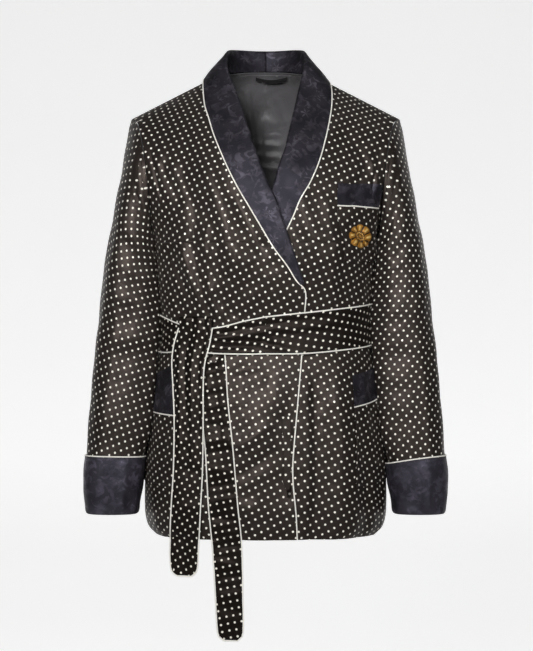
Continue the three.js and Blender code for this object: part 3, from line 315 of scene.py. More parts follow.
def read(table, by, key, at):
    x, y = table[by], table[key]
    if x[-1] < x[0]:
        x, y = x[::-1], y[::-1]
    slope = np.gradient(y, x)
    slope[1:-1] = (y[2:] - y[:-2]) / (x[2:] - x[:-2])
    at = np.asarray(at, float)
    i = np.clip(np.searchsorted(x, at, side="right") - 1, 0, len(x) - 2)
    span = x[i + 1] - x[i]
    t = np.clip((at - x[i]) / span, 0, 1)
    start = (1 + 2 * t) * (1 - t) ** 2 * y[i] + t * (1 - t) ** 2 * span * slope[i]
    return start + t * t * (3 - 2 * t) * y[i + 1] + t * t * (t - 1) * span * slope[i + 1]


HALVINGS = 34


def solve(fall, target, low, high):
    target = np.asarray(target, float)
    a, b = np.full(target.shape, float(low)), np.full(target.shape, float(high))
    for _ in range(HALVINGS):
        middle = (a + b) / 2
        above = fall(middle) > target
        a, b = np.where(above, middle, a), np.where(above, b, middle)
    return (a + b) / 2


# %% [markdown]
# ## The body of the coat
# A level runs from the shoulder seam (0) through the armpits (1) to the hem (2), and a share from one side
# seam (-1) round to the other (1). Every panel, pocket and tail is placed by these two.

# %% The body of the coat
def armhole_x(level):
    return mix(ARMPIT_X, TIP_X, (1 - np.clip(level, 0, 1)) ** 2.2)


def torso_row(level):
    level = np.asarray(level, float)
    yoke = level <= 1
    up = np.clip(level, 0, 1)
    drop = (1 - np.cos(np.pi * up)) / 2
    z = mix(ARMPIT_Z, HEM_Z, level - 1)
    return {
        "half": np.where(yoke, armhole_x(level), read(TORSO, "z", "halfWidth", z)),
        "centre_z": np.where(yoke, mix(RIDGE_Z, ARMPIT_Z, drop), z),
        "side_z": np.where(yoke, mix(TIP_Z, ARMPIT_Z, drop), z),
        "side_depth": np.where(yoke, ARMHOLE_HALF_DEPTH * np.sin(np.pi * up), 0),
        "turn": np.where(yoke, mix(np.pi / 3, np.pi / 2, smooth((up - 0.6) / 0.4)), np.pi / 2),
        "drop": np.where(yoke, drop, 1.0),
    }


def torso_depth(facing, row, x):
    fullness = 1 - (1 - row["drop"]) ** 2
    if facing == "front":
        chest = CHEST_FRONT * fullness ** 0.77
    else:
        chest = CHEST_BACK * fullness ** mix(0.28, 0.6, smooth((np.abs(x) - 50) / 90))
    return np.where(row["drop"] >= 1, read(TORSO, "z", facing, row["centre_z"]), chest)


def evenly(share):
    return share**EVEN / (share**EVEN + (1 - share) ** EVEN)


def across(row, share):
    return np.clip(np.sin(row["turn"] * evenly(share)) / np.sin(row["turn"]), 0, None) ** ROUND


def fold_lift(folds, girth, z):
    lift = 0
    for g1, z1, g2, z2, width, height in zip(*folds.values()):
        dg, dz = g2 - g1, z2 - z1
        t = np.clip(((girth - g1) * dg + (z - z1) * dz) / (dg * dg + dz * dz), 0, 1)
        away = np.hypot(girth - g1 - t * dg, z - z1 - t * dz)
        lift = lift + height * bell(away, width) * smooth(np.minimum(t, 1 - t) * 5)
    return lift


# Slow unevenness of cloth that has been worn: a few long waves that cross
def rumple(u, v, seed, height=0.35):
    waves = np.random.default_rng(seed)
    lift = 0
    for _ in range(7):
        angle, length, phase = waves.uniform(0, np.pi), waves.uniform(26, 75), waves.uniform(0, 2 * np.pi)
        lift = lift + np.sin(2 * np.pi * (u * np.cos(angle) + v * np.sin(angle)) / length + phase)
    return height * lift / 2.6


def lap_inset(x, z):
    upper_edge = -read(EDGE_RIGHT, "z", "own", z)
    return read(LAP, "z", "inset", z) * smooth((upper_edge + LAP_FADE - x) / LAP_FADE)


def torso_point(panel, level, share):
    level, share = np.broadcast_arrays(np.asarray(level, float), np.asarray(share, float))
    facing = "back" if panel == "back" else "front"
    row, away = torso_row(level), np.abs(share)
    out = across(row, away)
    x = np.sign(share) * row["half"] * out
    z = mix(row["centre_z"], row["side_z"], out)
    bend = 1 - np.clip(np.cos(row["turn"] * evenly(away)), 0, None) ** ROUND
    rounding = bend / (1 - np.clip(np.cos(row["turn"]), 0, None) ** ROUND)
    depth = mix(torso_depth(facing, row, x), row["side_depth"], rounding)
    fade = smooth((1 - away) * 8) * smooth(level * 6)
    girth = share * QUARTER_GIRTH
    depth = depth + fade * fold_lift(FOLDS[panel], girth, z)
    depth = depth + fade * rumple(girth, z, {"front_right": 3, "front_left": 5, "back": 9}[panel])
    if panel == "front_left":
        depth = depth - lap_inset(x, z)
    forward = -1 if facing == "front" else 1
    return np.stack([x, SIDE_Y + forward * (SEAM_GAP / 2 + depth), z], -1)


def lifted(panel, level, share, lift):
    step = 0.004
    point = torso_point(panel, level, share)
    low, near = np.clip(level, step, 2 - step), np.clip(share, step - 1, 1 - step)
    down = torso_point(panel, low + step, near) - torso_point(panel, low - step, near)
    sideways = torso_point(panel, low, near + step) - torso_point(panel, low, near - step)
    out = unit(np.cross(sideways, down)) * (1 if panel == "back" else -1)
    return point + out * np.asarray(lift, float)[..., None]


def point_on(panel, x, z, lift):
    x, z = np.broadcast_arrays(np.asarray(x, float), np.asarray(z, float))

    def height(level):
        row = torso_row(level)
        return mix(row["centre_z"], row["side_z"], np.clip(np.abs(x) / row["half"], 0, 1))

    level = solve(height, z, 0, 2)
    row = torso_row(level)
    share = solve(lambda s: -row["half"] * across(row, s), -np.minimum(np.abs(x), row["half"] * 0.999), 0, 1)
    return lifted(panel, level, np.sign(x) * share, lift)


def point_round(panel, girth, z, lift):
    girth, z = np.broadcast_arrays(np.asarray(girth, float), np.asarray(z, float))
    share = girth / QUARTER_GIRTH

    def height(level):
        row = torso_row(level)
        return mix(row["centre_z"], row["side_z"], across(row, np.abs(share)))

    return lifted(panel, solve(height, z, 0, 2), share, lift)


print("front at the waist", torso_point("front_right", 1.3, 0.0).round(1))

# %% [markdown]
# ## Cloth as a thin shell
# A piece is a grid of points in the middle of the cloth. Its two faces lie half a wall to each side, with a
# narrow rim round the edge. The flat pattern comes from letting the grid relax in a plane until its threads
# have their real lengths, as cloth lies when it is cut, so dots and figures keep their size all over.

# %% Cloth as a thin shell
def grid_normals(grid, closed, centre):
    def spread(axis, wrap):
        if wrap:
            return np.roll(grid, -1, axis) - np.roll(grid, 1, axis)
        padded = np.pad(grid, [(1, 1) if i == axis else (0, 0) for i in range(3)], mode="edge")
        size = padded.shape[axis]
        return np.take(padded, range(2, size), axis) - np.take(padded, range(size - 2), axis)

    normals = unit(np.cross(spread(1, closed), spread(0, False)))
    away = grid - np.asarray(centre, float) if centre is not None else normals
    return normals, 1 if np.sum(normals * away) > 0 else -1


# Lengths along every thread of a grid from its start, and along the mean of the threads
def running(grid, axis):
    steps = np.linalg.norm(np.diff(grid, axis=axis), axis=-1)
    return np.concatenate([np.zeros_like(steps.take([0], axis)), np.cumsum(steps, axis)], axis)


def running_mean(grid, axis):
    return np.concatenate([[0], np.cumsum(np.linalg.norm(np.diff(grid, axis=axis), axis=-1).mean(1 - axis))])


def rotated(uv, degrees):
    c, s = math.cos(math.radians(degrees)), math.sin(math.radians(degrees))
    return uv @ np.array([[c, s], [-s, c]])


# The threads pull towards their real lengths round by round, on a coarse grid that the fine one is read from
MOST_ROWS, MOST_COLUMNS = 36, 32
PULL = 1.3


def flatten(grid, start, turn=0.0, rounds=500):
    rows, cols = (np.unique(np.searchsorted(line, np.linspace(0, line[-1], min(most, len(line))) - 1e-9))
                  for line, most in ((running_mean(grid, 0), MOST_ROWS), (running_mean(grid, 1), MOST_COLUMNS)))
    solid = grid[np.ix_(rows, cols)]
    flat = start[np.ix_(rows, cols)].astype(float)
    every, first, last = slice(None), slice(0, -1), slice(1, None)
    pairs = [((every, first), (every, last)), ((first, every), (last, every)), ((first, first), (last, last)),
             ((first, last), (last, first))]
    lengths = [np.linalg.norm(solid[b] - solid[a], axis=-1) for a, b in pairs]
    for _ in range(rounds):
        move, count = np.zeros_like(flat), np.zeros(flat.shape[:2] + (1,))
        for (a, b), length in zip(pairs, lengths):
            gap = flat[b] - flat[a]
            now = np.maximum(np.linalg.norm(gap, axis=-1), 1e-6)
            pull = gap * ((now - length) / now / 2)[..., None]
            move[a] += pull
            move[b] -= pull
            count[a] += 1
            count[b] += 1
        flat += PULL * move / count
    along, down = running(grid, 1), running(grid, 0)
    fine = np.empty(grid.shape[:2] + (2,))
    for k in range(2):
        part = np.array([np.interp(along[r], along[r][cols], line) for r, line in zip(rows, flat[..., k])])
        fine[..., k] = np.array([np.interp(own, own[rows], line) for own, line in zip(down.T, part.T)]).T
    return rotated(fine, turn)


# First layouts for flatten: real widths from the middle outwards with heights as the cloth stands, and, for a
# piece that hangs, widths as they are with lengths from the top downwards
def laid_out(grid):
    width = running(grid, 1)
    middle = grid.shape[1] // 2
    facing = np.sign(grid[..., -1, 0].mean() - grid[..., 0, 0].mean())
    u = grid[:, middle : middle + 1, 0] + facing * (width - width[:, middle : middle + 1])
    return np.stack([u, grid[..., 2]], -1)


def hung_out(grid):
    return stacked(grid[..., 0], -running_mean(grid, 0)[:, None])


def mesh_object(name, points, quads, uvs, slots, soft, materials):
    mesh = bpy.data.meshes.new(name)
    mesh.vertices.add(len(points))
    mesh.vertices.foreach_set("co", (np.asarray(points, float) / 1000).ravel())
    mesh.loops.add(4 * len(quads))
    mesh.loops.foreach_set("vertex_index", np.asarray(quads).ravel())
    mesh.polygons.add(len(quads))
    mesh.polygons.foreach_set("loop_start", np.arange(0, 4 * len(quads), 4))
    layer = mesh.uv_layers.new(name="UVMap")
    layer.data.foreach_set("uv", (np.asarray(uvs, float) / 1000).ravel())
    for material in materials:
        mesh.materials.append(material)
    mesh.polygons.foreach_set("material_index", np.asarray(slots))
    mesh.polygons.foreach_set("use_smooth", soft)
    mesh.update(calc_edges=True)
    mesh.validate()
    made = bpy.data.objects.new(name, mesh)
    bpy.context.scene.collection.objects.link(made)
    return made


# The flat size is the smallest rectangle of cloth that the pattern can be cut from
def smallest_rectangle(uv):
    sizes = [np.ptp(rotated(uv, turn).reshape(-1, 2), axis=0) / 1000 for turn in range(90)]
    return min(([float(side) for side in size] for size in sizes), key=lambda size: size[0] * size[1])


def shell(name, grid, uv, wall, outer, inner=None, closed=False, centre=None, normals=None):
    own, sign = grid_normals(grid, closed, centre)
    normals = sign * own if normals is None else normals
    faces = [grid + normals * wall / 2, grid - normals * wall / 2]
    count = grid.shape[0] * grid.shape[1]
    index = np.arange(count).reshape(grid.shape[:2])
    if closed:
        index = closed_uv(index)
    quads, uvs, slots, soft = [], [], [], []

    def strip(numbers, flat, slot, flip, smooth_face=True):
        corners = [numbers[:-1, :-1], numbers[:-1, 1:], numbers[1:, 1:], numbers[1:, :-1]]
        flats = [flat[:-1, :-1], flat[:-1, 1:], flat[1:, 1:], flat[1:, :-1]]
        if flip:
            corners, flats = corners[::-1], flats[::-1]
        quads.append(np.stack(corners, -1).reshape(-1, 4))
        uvs.append(np.stack(flats, 2).reshape(-1, 4, 2))
        slots.append(np.full(len(quads[-1]), slot))
        soft.append(np.full(len(quads[-1]), smooth_face))

    strip(index, uv, 0, sign < 0)
    strip(index + count, uv, 1 if inner else 0, sign > 0)
    edges = [(0, slice(None), sign > 0), (-1, slice(None), sign < 0)]
    if not closed:
        edges += [(slice(None), 0, sign < 0), (slice(None), -1, sign > 0)]
    for *edge, flip in edges:
        numbers = index[tuple(edge)]
        slot = 1 if inner and edge[0] == 0 else 0
        strip(np.stack([numbers, numbers + count]), np.stack([uv[tuple(edge)]] * 2), slot, flip, False)
    points = np.concatenate([face.reshape(-1, 3) for face in faces])
    made = mesh_object(name, points, np.concatenate(quads), np.concatenate(uvs), np.concatenate(slots),
                       np.concatenate(soft), [outer] + ([inner] if inner else []))
    a, b = uv[1:, :-1] - uv[:-1, :-1], uv[:-1, 1:] - uv[:-1, :-1]
    made["cut_area"] = float(np.abs(a[..., 0] * b[..., 1] - a[..., 1] * b[..., 0]).sum()) / 1e6
    made["cut_size"] = smallest_rectangle(uv)
    return made


def closed_uv(grid):
    return np.concatenate([grid, grid[:, :1]], 1)


def near_edges(count, low, high, edge=(0.004, 0.01, 0.02)):
    span = high - low
    places = list(np.linspace(low, high, count)) + [low + span * e for e in edge] + [high - span * e for e in edge]
    return np.unique(np.round(places, 6))


# %% [markdown]
# ## Making materials
# Colours are given as a dyer would name them, in sRGB hex, and pass through one function. One helper adds a
# node and joins it up, so each material below reads as a short recipe.

# %% Making materials
def srgb(text):
    parts = [int(text[i:i + 2], 16) / 255 for i in (0, 2, 4)]
    return tuple(p / 12.92 if p <= 0.04045 else ((p + 0.055) / 1.055) ** 2.4 for p in parts) + (1.0,)


def add_node(tree, kind, inputs=None, **settings):
    made = tree.nodes.new(kind)
    for name, value in settings.items():
        setattr(made, name, value)
    for name, value in (inputs or {}).items():
        if isinstance(value, bpy.types.NodeSocket):
            tree.links.new(value, made.inputs[name])
        else:
            made.inputs[name].default_value = value
    return made


def maths(tree, operation, *values):
    return add_node(tree, "ShaderNodeMath", dict(enumerate(values)), operation=operation).outputs[0]


def vector(tree, operation, *values, **named):
    made = add_node(tree, "ShaderNodeVectorMath", {**dict(enumerate(values)), **named}, operation=operation)
    return made.outputs["Value" if operation in ("LENGTH", "DISTANCE") else "Vector"]


def ramp(tree, value, low, high, to_low=0.0, to_high=1.0):
    inputs = {"Value": value, "From Min": low, "From Max": high, "To Min": to_low, "To Max": to_high}
    return add_node(tree, "ShaderNodeMapRange", inputs, interpolation_type="SMOOTHSTEP").outputs["Result"]


def colour_mix(tree, factor, one, other):
    made = add_node(tree, "ShaderNodeMix", data_type="RGBA")
    for socket, value in ((made.inputs[0], factor), (made.inputs[6], one), (made.inputs[7], other)):
        if isinstance(value, bpy.types.NodeSocket):
            tree.links.new(value, socket)
        else:
            socket.default_value = value
    return made.outputs[2]


def paint(tree, shader, factor, one, other):
    tree.links.new(colour_mix(tree, factor, srgb(one), srgb(other)), shader.inputs["Base Color"])


def object_place(tree):
    return add_node(tree, "ShaderNodeTexCoord").outputs["Object"]


def new_material(name, **sockets):
    material = bpy.data.materials.new(name)
    material.use_nodes = True
    tree = material.node_tree
    shader = tree.nodes["Principled BSDF"]
    for socket, value in sockets.items():
        shader.inputs[socket.replace("_", " ")].default_value = value
    uv = add_node(tree, "ShaderNodeUVMap", uv_map="UVMap").outputs["UV"]
    return material, tree, shader, uv


# Threads run across and along the cloth: two sets of fine ridges. A wave of scale 1 is 0.314 m long
WAVE_LENGTH = 0.314


def ridges(tree, uv, pitch, way="X", **more):
    inputs = {"Vector": uv, "Scale": WAVE_LENGTH / pitch, **more}
    return add_node(tree, "ShaderNodeTexWave", inputs, bands_direction=way).outputs["Fac"]


def weave(tree, uv, pitch):
    return maths(tree, "ADD", ridges(tree, uv, pitch), ridges(tree, uv, pitch / 0.8, "Y"))


def noise(tree, uv, scale, detail=2.0, distortion=0.0, rough=0.5):
    inputs = {"Vector": uv, "Scale": scale, "Detail": detail, "Distortion": distortion, "Roughness": rough}
    return add_node(tree, "ShaderNodeTexNoise", inputs).outputs["Fac"]


def bumps(tree, shader, *layers):
    normal = None
    for height, distance, strength in layers:
        inputs = {"Height": height, "Distance": distance, "Strength": strength}
        if normal is not None:
            inputs["Normal"] = normal
        normal = add_node(tree, "ShaderNodeBump", inputs).outputs["Normal"]
    tree.links.new(normal, shader.inputs["Normal"])


# %% [markdown]
# ## Dotted silk satin
# Near-black satin with small ivory dots on a square lattice that stands askew to the grain. What the eye sees is
# the soft broad shine of satin floats, the crisp dots, and fine creases that break the shine. It would be
# woven as satin and printed; here the lattice is worked out from its pitch, so it can be re-spaced at will.

# %% Dotted silk satin
DOT_PITCH, DOT_RADIUS = 0.01118, 0.00178


def dots(tree, uv):
    cells = vector(tree, "SCALE", uv, Scale=1 / DOT_PITCH)
    inside = vector(tree, "SUBTRACT", vector(tree, "FRACTION", cells), (0.5, 0.5, 0))
    edge = maths(tree, "MULTIPLY", maths(tree, "SUBTRACT", noise(tree, uv, 900, 1), 0.5), 0.05)
    away = maths(tree, "ADD", vector(tree, "LENGTH", inside), edge)
    reach = DOT_RADIUS / DOT_PITCH
    return ramp(tree, away, reach * 0.86, reach * 1.12, 1.0, 0.0)


def dotted_satin(name, dark, light, shine, roughness, dot):
    material, tree, shader, uv = new_material(
        name, Roughness=roughness, Specular_IOR_Level=shine, Specular_Tint=srgb("e2cfc4"), Sheen_Weight=0.04,
        Sheen_Roughness=0.4, Sheen_Tint=srgb("8a766a"), Anisotropic=0.4)
    along = add_node(tree, "ShaderNodeTangent", direction_type="UV_MAP", uv_map="UVMap").outputs[0]
    tree.links.new(along, shader.inputs["Tangent"])
    mask = dots(tree, uv)
    ground = colour_mix(tree, noise(tree, uv, 28, 3), srgb(dark), srgb(light))
    tree.links.new(colour_mix(tree, mask, ground, srgb(dot)), shader.inputs["Base Color"])
    tree.links.new(ramp(tree, mask, 0, 1, roughness, 0.6), shader.inputs["Roughness"])
    bumps(tree, shader, (noise(tree, uv, 30, 3, 0.5), 0.0022, 0.4), (noise(tree, uv, 110, 3, 0.6, 0.6), 0.0009, 0.6),
          (noise(tree, uv, 420, 2), 0.0002, 0.5), (weave(tree, uv, 0.00035), 0.00006, 0.25), (mask, 0.00008, 0.4))
    return material


silk = dotted_satin("dotted_silk_satin", "14100f", "25201d", 0.48, 0.43, "fdf9ef")
# The belt band and its tails take a darker copy of the same dotted satin with dimmer dots: painted shade
belt_silk_painted_shade = dotted_satin("dotted_silk_satin_belt_painted_shade", "060403", "0f0b09", 0.28, 0.44, "f3eee2")

# %% [markdown]
# ## Figured silk
# The collar, cuffs and pocket bands are a dark purple-grey jacquard. Flowers and leaves of satin float on a duller
# ground; they show by shine more than by colour. Each flower is worked out round the middle of its own cell.

# %% Figured silk
def flowers(tree, uv, scale, petals, size):
    cell = add_node(tree, "ShaderNodeTexVoronoi", {"Vector": uv, "Scale": scale, "Randomness": 0.75})
    local = vector(tree, "SUBTRACT", uv, cell.outputs["Position"])
    parts = add_node(tree, "ShaderNodeSeparateXYZ", {0: local})
    phase = add_node(tree, "ShaderNodeSeparateColor", {0: cell.outputs["Color"]}).outputs[0]
    angle = maths(tree, "ARCTAN2", parts.outputs[1], parts.outputs[0])
    turned = maths(tree, "MULTIPLY_ADD", angle, float(petals), maths(tree, "MULTIPLY", phase, 6.3))
    edge = maths(tree, "MULTIPLY_ADD", maths(tree, "COSINE", turned), 0.3 * size, size)
    wobble = maths(tree, "MULTIPLY", maths(tree, "SUBTRACT", noise(tree, uv, 160, 2), 0.5), size * 1.1)
    away = maths(tree, "ADD", vector(tree, "LENGTH", local), wobble)
    body = ramp(tree, maths(tree, "SUBTRACT", away, edge), -0.0006, 0.0008, 1.0, 0.0)
    heart = ramp(tree, away, size * 0.22, size * 0.34, 1.0, 0.0)
    return maths(tree, "SUBTRACT", body, heart)


def figured_satin(name, shine, rough, dark, light, ground_dark, ground_light):
    material, tree, shader, uv = new_material(
        name, Specular_IOR_Level=shine, Specular_Tint=srgb("c8c3dc"), Sheen_Weight=0.04,
        Sheen_Roughness=0.3, Sheen_Tint=srgb("85808f"), Anisotropic=0.3)
    big = flowers(tree, uv, 26.5, 6, 0.0098)
    leaves = ramp(tree, noise(tree, uv, 68, 4, 1.2), 0.5, 0.6)
    figure = maths(tree, "MAXIMUM", big, maths(tree, "MULTIPLY", leaves, 0.8))
    figure = maths(tree, "MULTIPLY", figure, ramp(tree, noise(tree, uv, 55, 3), 0.36, 0.6, 0.35, 1.0))
    cloudy = ramp(tree, noise(tree, uv, 24, 3), 0.3, 0.7)
    dull = colour_mix(tree, cloudy, srgb(ground_dark), srgb(ground_light))
    bright = colour_mix(tree, cloudy, srgb(dark), srgb(light))
    tree.links.new(colour_mix(tree, figure, dull, bright), shader.inputs["Base Color"])
    tree.links.new(ramp(tree, figure, 0, 1, rough, rough * 0.66), shader.inputs["Roughness"])
    bumps(tree, shader, (noise(tree, uv, 38, 3, 0.5), 0.0022, 0.6), (figure, 0.00014, 0.6),
          (weave(tree, uv, 0.0005), 0.00006, 0.3))
    return material


figured = figured_satin("figured_silk_jacquard", 0.46, 0.54, "242227", "524e56", "0e0d0e", "242226")
# The cuffs take a lighter copy of the same jacquard, for the shine on their curve: painted highlight
figured_cuff_painted_highlight = figured_satin("figured_silk_jacquard_cuff_painted_highlight", 1.0, 0.5, "2a282f", "55505e", "121113", "29272c")

# %% [markdown]
# ## Ivory cord, lining, tape and gold thread
# The edging is a satin-covered cord: pale, softly shining, with a fine slanting rib. The lining is plain charcoal
# satin. The tape is ribbed and matt, with painted shade between its ribs. The gold thread is a metal-wrapped yarn
# with painted shade between its strands and in its slots, and painted highlight on its peaks.

# %% Ivory cord, lining, tape and gold thread
ivory, tree, shader, uv = new_material(
    "ivory_satin_cord", Roughness=0.5, Specular_IOR_Level=0.45, Sheen_Weight=0.25, Sheen_Roughness=0.4)
place = object_place(tree)
paint(tree, shader, noise(tree, place, 60, 2), "faf6ec", "fffcf5")
bumps(tree, shader, (noise(tree, place, 1500, 1), 0.0001, 0.4))

lining, tree, shader, uv = new_material(
    "charcoal_lining_satin", Roughness=0.42, Specular_IOR_Level=0.5, Sheen_Weight=0.1, Sheen_Roughness=0.4,
    Anisotropic=0.3)
paint(tree, shader, noise(tree, uv, 18, 2), "585758", "6b696c")
bumps(tree, shader, (noise(tree, uv, 26, 3, 0.8), 0.005, 0.8), (weave(tree, uv, 0.0003), 0.00005, 0.2))

tape, tree, shader, uv = new_material("black_ribbed_tape", Roughness=0.75, Specular_IOR_Level=0.3, Sheen_Weight=0.2)
ribs = ridges(tree, uv, 0.0009)
# The tape is coloured darker between its ribs and paler on them: painted shade
paint(tree, shader, ribs, "0d0c0e", "1b191d")
bumps(tree, shader, (ribs, 0.0002, 0.6))

# The relief of the embroidery is kept on its mesh. Its colour is painted shade, dark in the slots, and painted
# highlight, pale on the peaks
gold, tree, shader, uv = new_material(
    "gold_embroidery_thread", Roughness=0.38, Metallic=0.3, Specular_IOR_Level=0.6, Anisotropic=0.4)
yarn = ridges(tree, uv, 0.0007, Distortion=0.6)
tone = colour_mix(tree, noise(tree, uv, 260, 2), srgb("c07e1c"), srgb("f2b440"))
relief = add_node(tree, "ShaderNodeAttribute", attribute_name="raised").outputs["Fac"]
# The yarn is coloured darker in the grooves between its strands: painted shade
strands_painted_shade = colour_mix(tree, yarn, srgb("8a560f"), tone)
# Painted shade: the slots of the relief are coloured near-black
slots_painted_shade = colour_mix(tree, ramp(tree, relief, 0.2, 0.9), srgb("1c1004"), strands_painted_shade)
# Painted highlight: the peaks of the relief are coloured pale yellow
peaks_painted_highlight = colour_mix(tree, ramp(tree, relief, 1.2, 1.6), slots_painted_shade, srgb("ffdc86"))
tree.links.new(peaks_painted_highlight, shader.inputs["Base Color"])
bumps(tree, shader, (yarn, 0.0003, 0.8))

thread, tree, shader, uv = new_material("dark_sewing_thread", Roughness=0.5, Sheen_Weight=0.2)
paint(tree, shader, noise(tree, object_place(tree), 900, 1), "1a1513", "2c2420")
print("materials", [material.name for material in bpy.data.materials if material.use_nodes])

# %% [markdown]
# ## What follows a path
# Edging cord and rows of stitches are grown along a line by geometry nodes: the line is resampled, and a round
# profile or single stitches are set on it. A new radius or stitch length is one input.

# %% What follows a path
def path_group(name, *numbers):
    tree = bpy.data.node_groups.new(name, "GeometryNodeTree")
    tree.is_modifier = True
    for label, kind in {"Geometry": "Geometry", **dict.fromkeys(numbers, "Float"), "Material": "Material"}.items():
        tree.interface.new_socket(label, in_out="INPUT", socket_type="NodeSocket" + kind)
    tree.interface.new_socket("Geometry", in_out="OUTPUT", socket_type="NodeSocketGeometry")
    given = tree.nodes.new("NodeGroupInput").outputs
    line = add_node(tree, "GeometryNodeMeshToCurve", {0: given["Geometry"]}).outputs[0]
    even = add_node(tree, "GeometryNodeResampleCurve", {"Curve": line, "Length": given["Spacing"]}, mode="LENGTH")
    return tree, given, even.outputs[0]


def end_group(tree, given, geometry):
    real = add_node(tree, "GeometryNodeRealizeInstances", {"Geometry": geometry}).outputs[0]
    painted = add_node(tree, "GeometryNodeSetMaterial", {"Geometry": real, "Material": given["Material"]})
    tree.links.new(painted.outputs[0], tree.nodes.new("NodeGroupOutput").inputs[0])


cord_tree, given, curve = path_group("edging_cord", "Radius", "Spacing")
ring = add_node(cord_tree, "GeometryNodeCurvePrimitiveCircle", {"Resolution": 8, "Radius": given["Radius"]})
swept = add_node(cord_tree, "GeometryNodeCurveToMesh", {
    "Curve": curve, "Profile Curve": ring.outputs[0], "Fill Caps": True})
soft = add_node(cord_tree, "GeometryNodeSetShadeSmooth", {"Geometry": swept.outputs[0]})
end_group(cord_tree, given, soft.outputs[0])

stitch_tree, given, curve = path_group("stitch_row", "Spacing", "Length", "Radius")
stitch = add_node(stitch_tree, "GeometryNodeMeshCylinder", {
    "Vertices": 5, "Radius": given["Radius"], "Depth": given["Length"]})
ahead = add_node(stitch_tree, "GeometryNodeInputTangent").outputs[0]
aligned = add_node(stitch_tree, "FunctionNodeAlignRotationToVector", {"Vector": ahead}, axis="Z")
rows = add_node(stitch_tree, "GeometryNodeInstanceOnPoints", {
    "Points": curve, "Instance": stitch.outputs["Mesh"], "Rotation": aligned.outputs[0]})
end_group(stitch_tree, given, rows.outputs[0])


def grow(name, tree, paths, **values):
    points, edges = [], []
    for path, closed in paths:
        first, count = len(points), len(path)
        points += [tuple(p / 1000) for p in path]
        edges += [(first + i, first + (i + 1) % count) for i in range(count if closed else count - 1)]
    mesh = bpy.data.meshes.new(name + "_path")
    mesh.from_pydata(points, edges, [])
    source = bpy.data.objects.new(name + "_path", mesh)
    bpy.context.scene.collection.objects.link(source)
    modifier = source.modifiers.new("grow", "NODES")
    modifier.node_group = tree
    sockets = {item.name: item.identifier for item in tree.interface.items_tree if item.in_out == "INPUT"}
    for label, value in values.items():
        modifier[sockets[label]] = value
    seen = source.evaluated_get(bpy.context.evaluated_depsgraph_get())
    made = bpy.data.objects.new(name, bpy.data.meshes.new_from_object(seen))
    bpy.context.scene.collection.objects.link(made)
    bpy.data.objects.remove(source)
    return made


CORD_SPACING = 0.003
STITCH = {"Spacing": 0.0032, "Length": 0.0024, "Radius": 0.0002}
PIECES = []


def dress(piece, nodes, slot, held=None, rests_on=()):
    PIECES.append((piece, nodes, slot, held, rests_on))


def pipe(name, path, closed=False):
    whole = closed_uv(path[None])[0] if closed else path
    print(name, "cord length in mm", round(float(running(whole, 0)[-1])))
    made = grow(name + "_cord", cord_tree, [(path, closed)], Radius=CORD_RADIUS / 1000, Spacing=CORD_SPACING,
                Material=ivory)
    dress(made, ["piping_" + name], "piping")


def stitches(name, paths):
    dress(grow(name, stitch_tree, [(path, False) for path in paths], Material=thread, **STITCH), [], "silk")


# %% [markdown]
# ## Fronts and back
# Each front is cut from its lapped edge round to the side seam, the back from side to side with a scooped neck.
# A tailor would press the seams open and catch the lining along them; here the inner face carries the lining.

# %% Fronts and back
ROWS, COLUMNS = ((170, 100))
CLOTH_WALL, DOUBLE_WALL, LINING_WALL, TAPE_WALL, ROSETTE_WALL = 0.9, 1.2, 0.5, 0.9, 0.8
LATTICE_TURN = 26.57
LONG_RELAX = 700
LEVELS = np.concatenate([near_edges(ROWS * 4 // 10, 0, 1), near_edges(ROWS * 6 // 10, 1, 2)[1:]])


def edge_share(side, edges, level):
    row = torso_row(level)

    def past(own):
        out = across(row, np.abs(own))
        return read(edges, "z", "own", mix(row["centre_z"], row["side_z"], out)) - np.sign(own) * row["half"] * out

    return side * solve(past, np.zeros_like(row["half"]), -0.6, 1)


def shoulder_normals(grid):
    own, sign = grid_normals(grid, False, MIDDLE)
    normals = own * sign
    slope = math.atan2(RIDGE_Z - TIP_Z, TIP_X)
    seam = np.abs(grid[0, :, 0]) >= NECK_SIDE_X - 1
    normals[0, seam] = np.stack([np.sign(grid[0, seam, 0]) * math.sin(slope), 0 * grid[0, seam, 0],
                                 np.full(seam.sum(), math.cos(slope))], -1)
    return normals


GRIDS = {}


def sew_panel(panel, grid, turn):
    GRIDS[panel] = grid
    uv = flatten(grid, laid_out(grid), turn, LONG_RELAX)
    made = shell(panel + "_cloth", grid, uv, CLOTH_WALL, silk, lining, normals=shoulder_normals(grid), centre=MIDDLE)
    dress(made, [panel], "silk", "draped")


spread = near_edges(COLUMNS, 0, 1)
for panel, side, edges in (("front_right", -1, EDGE_RIGHT), ("front_left", 1, EDGE_LEFT)):
    start = edge_share(side, edges, LEVELS)
    sew_panel(panel, torso_point(panel, LEVELS[:, None], mix(start[:, None], side, spread[None, :])), -LATTICE_TURN)

NECK_SHARE = 0.264
BACK_SHARES = [near_edges(COLUMNS * 12 // 10, -1, 1), [-NECK_SHARE, NECK_SHARE]]
BACK_SHARES = np.unique(np.round(np.concatenate(BACK_SHARES), 5))


def neck_level(share):
    def above(level):
        point = torso_point("back", level, share)
        return point[..., 2] - (NECK_BACK_Z - (NECK_BACK_Z - NECK_SIDE_Z) * (point[..., 0] / NECK_SIDE_X) ** 2)

    top = np.where(above(np.zeros_like(share)) > 0, solve(above, np.zeros_like(share), 0, 1), 0)
    return np.where(np.abs(share) < NECK_SHARE + 0.01, top, 0)


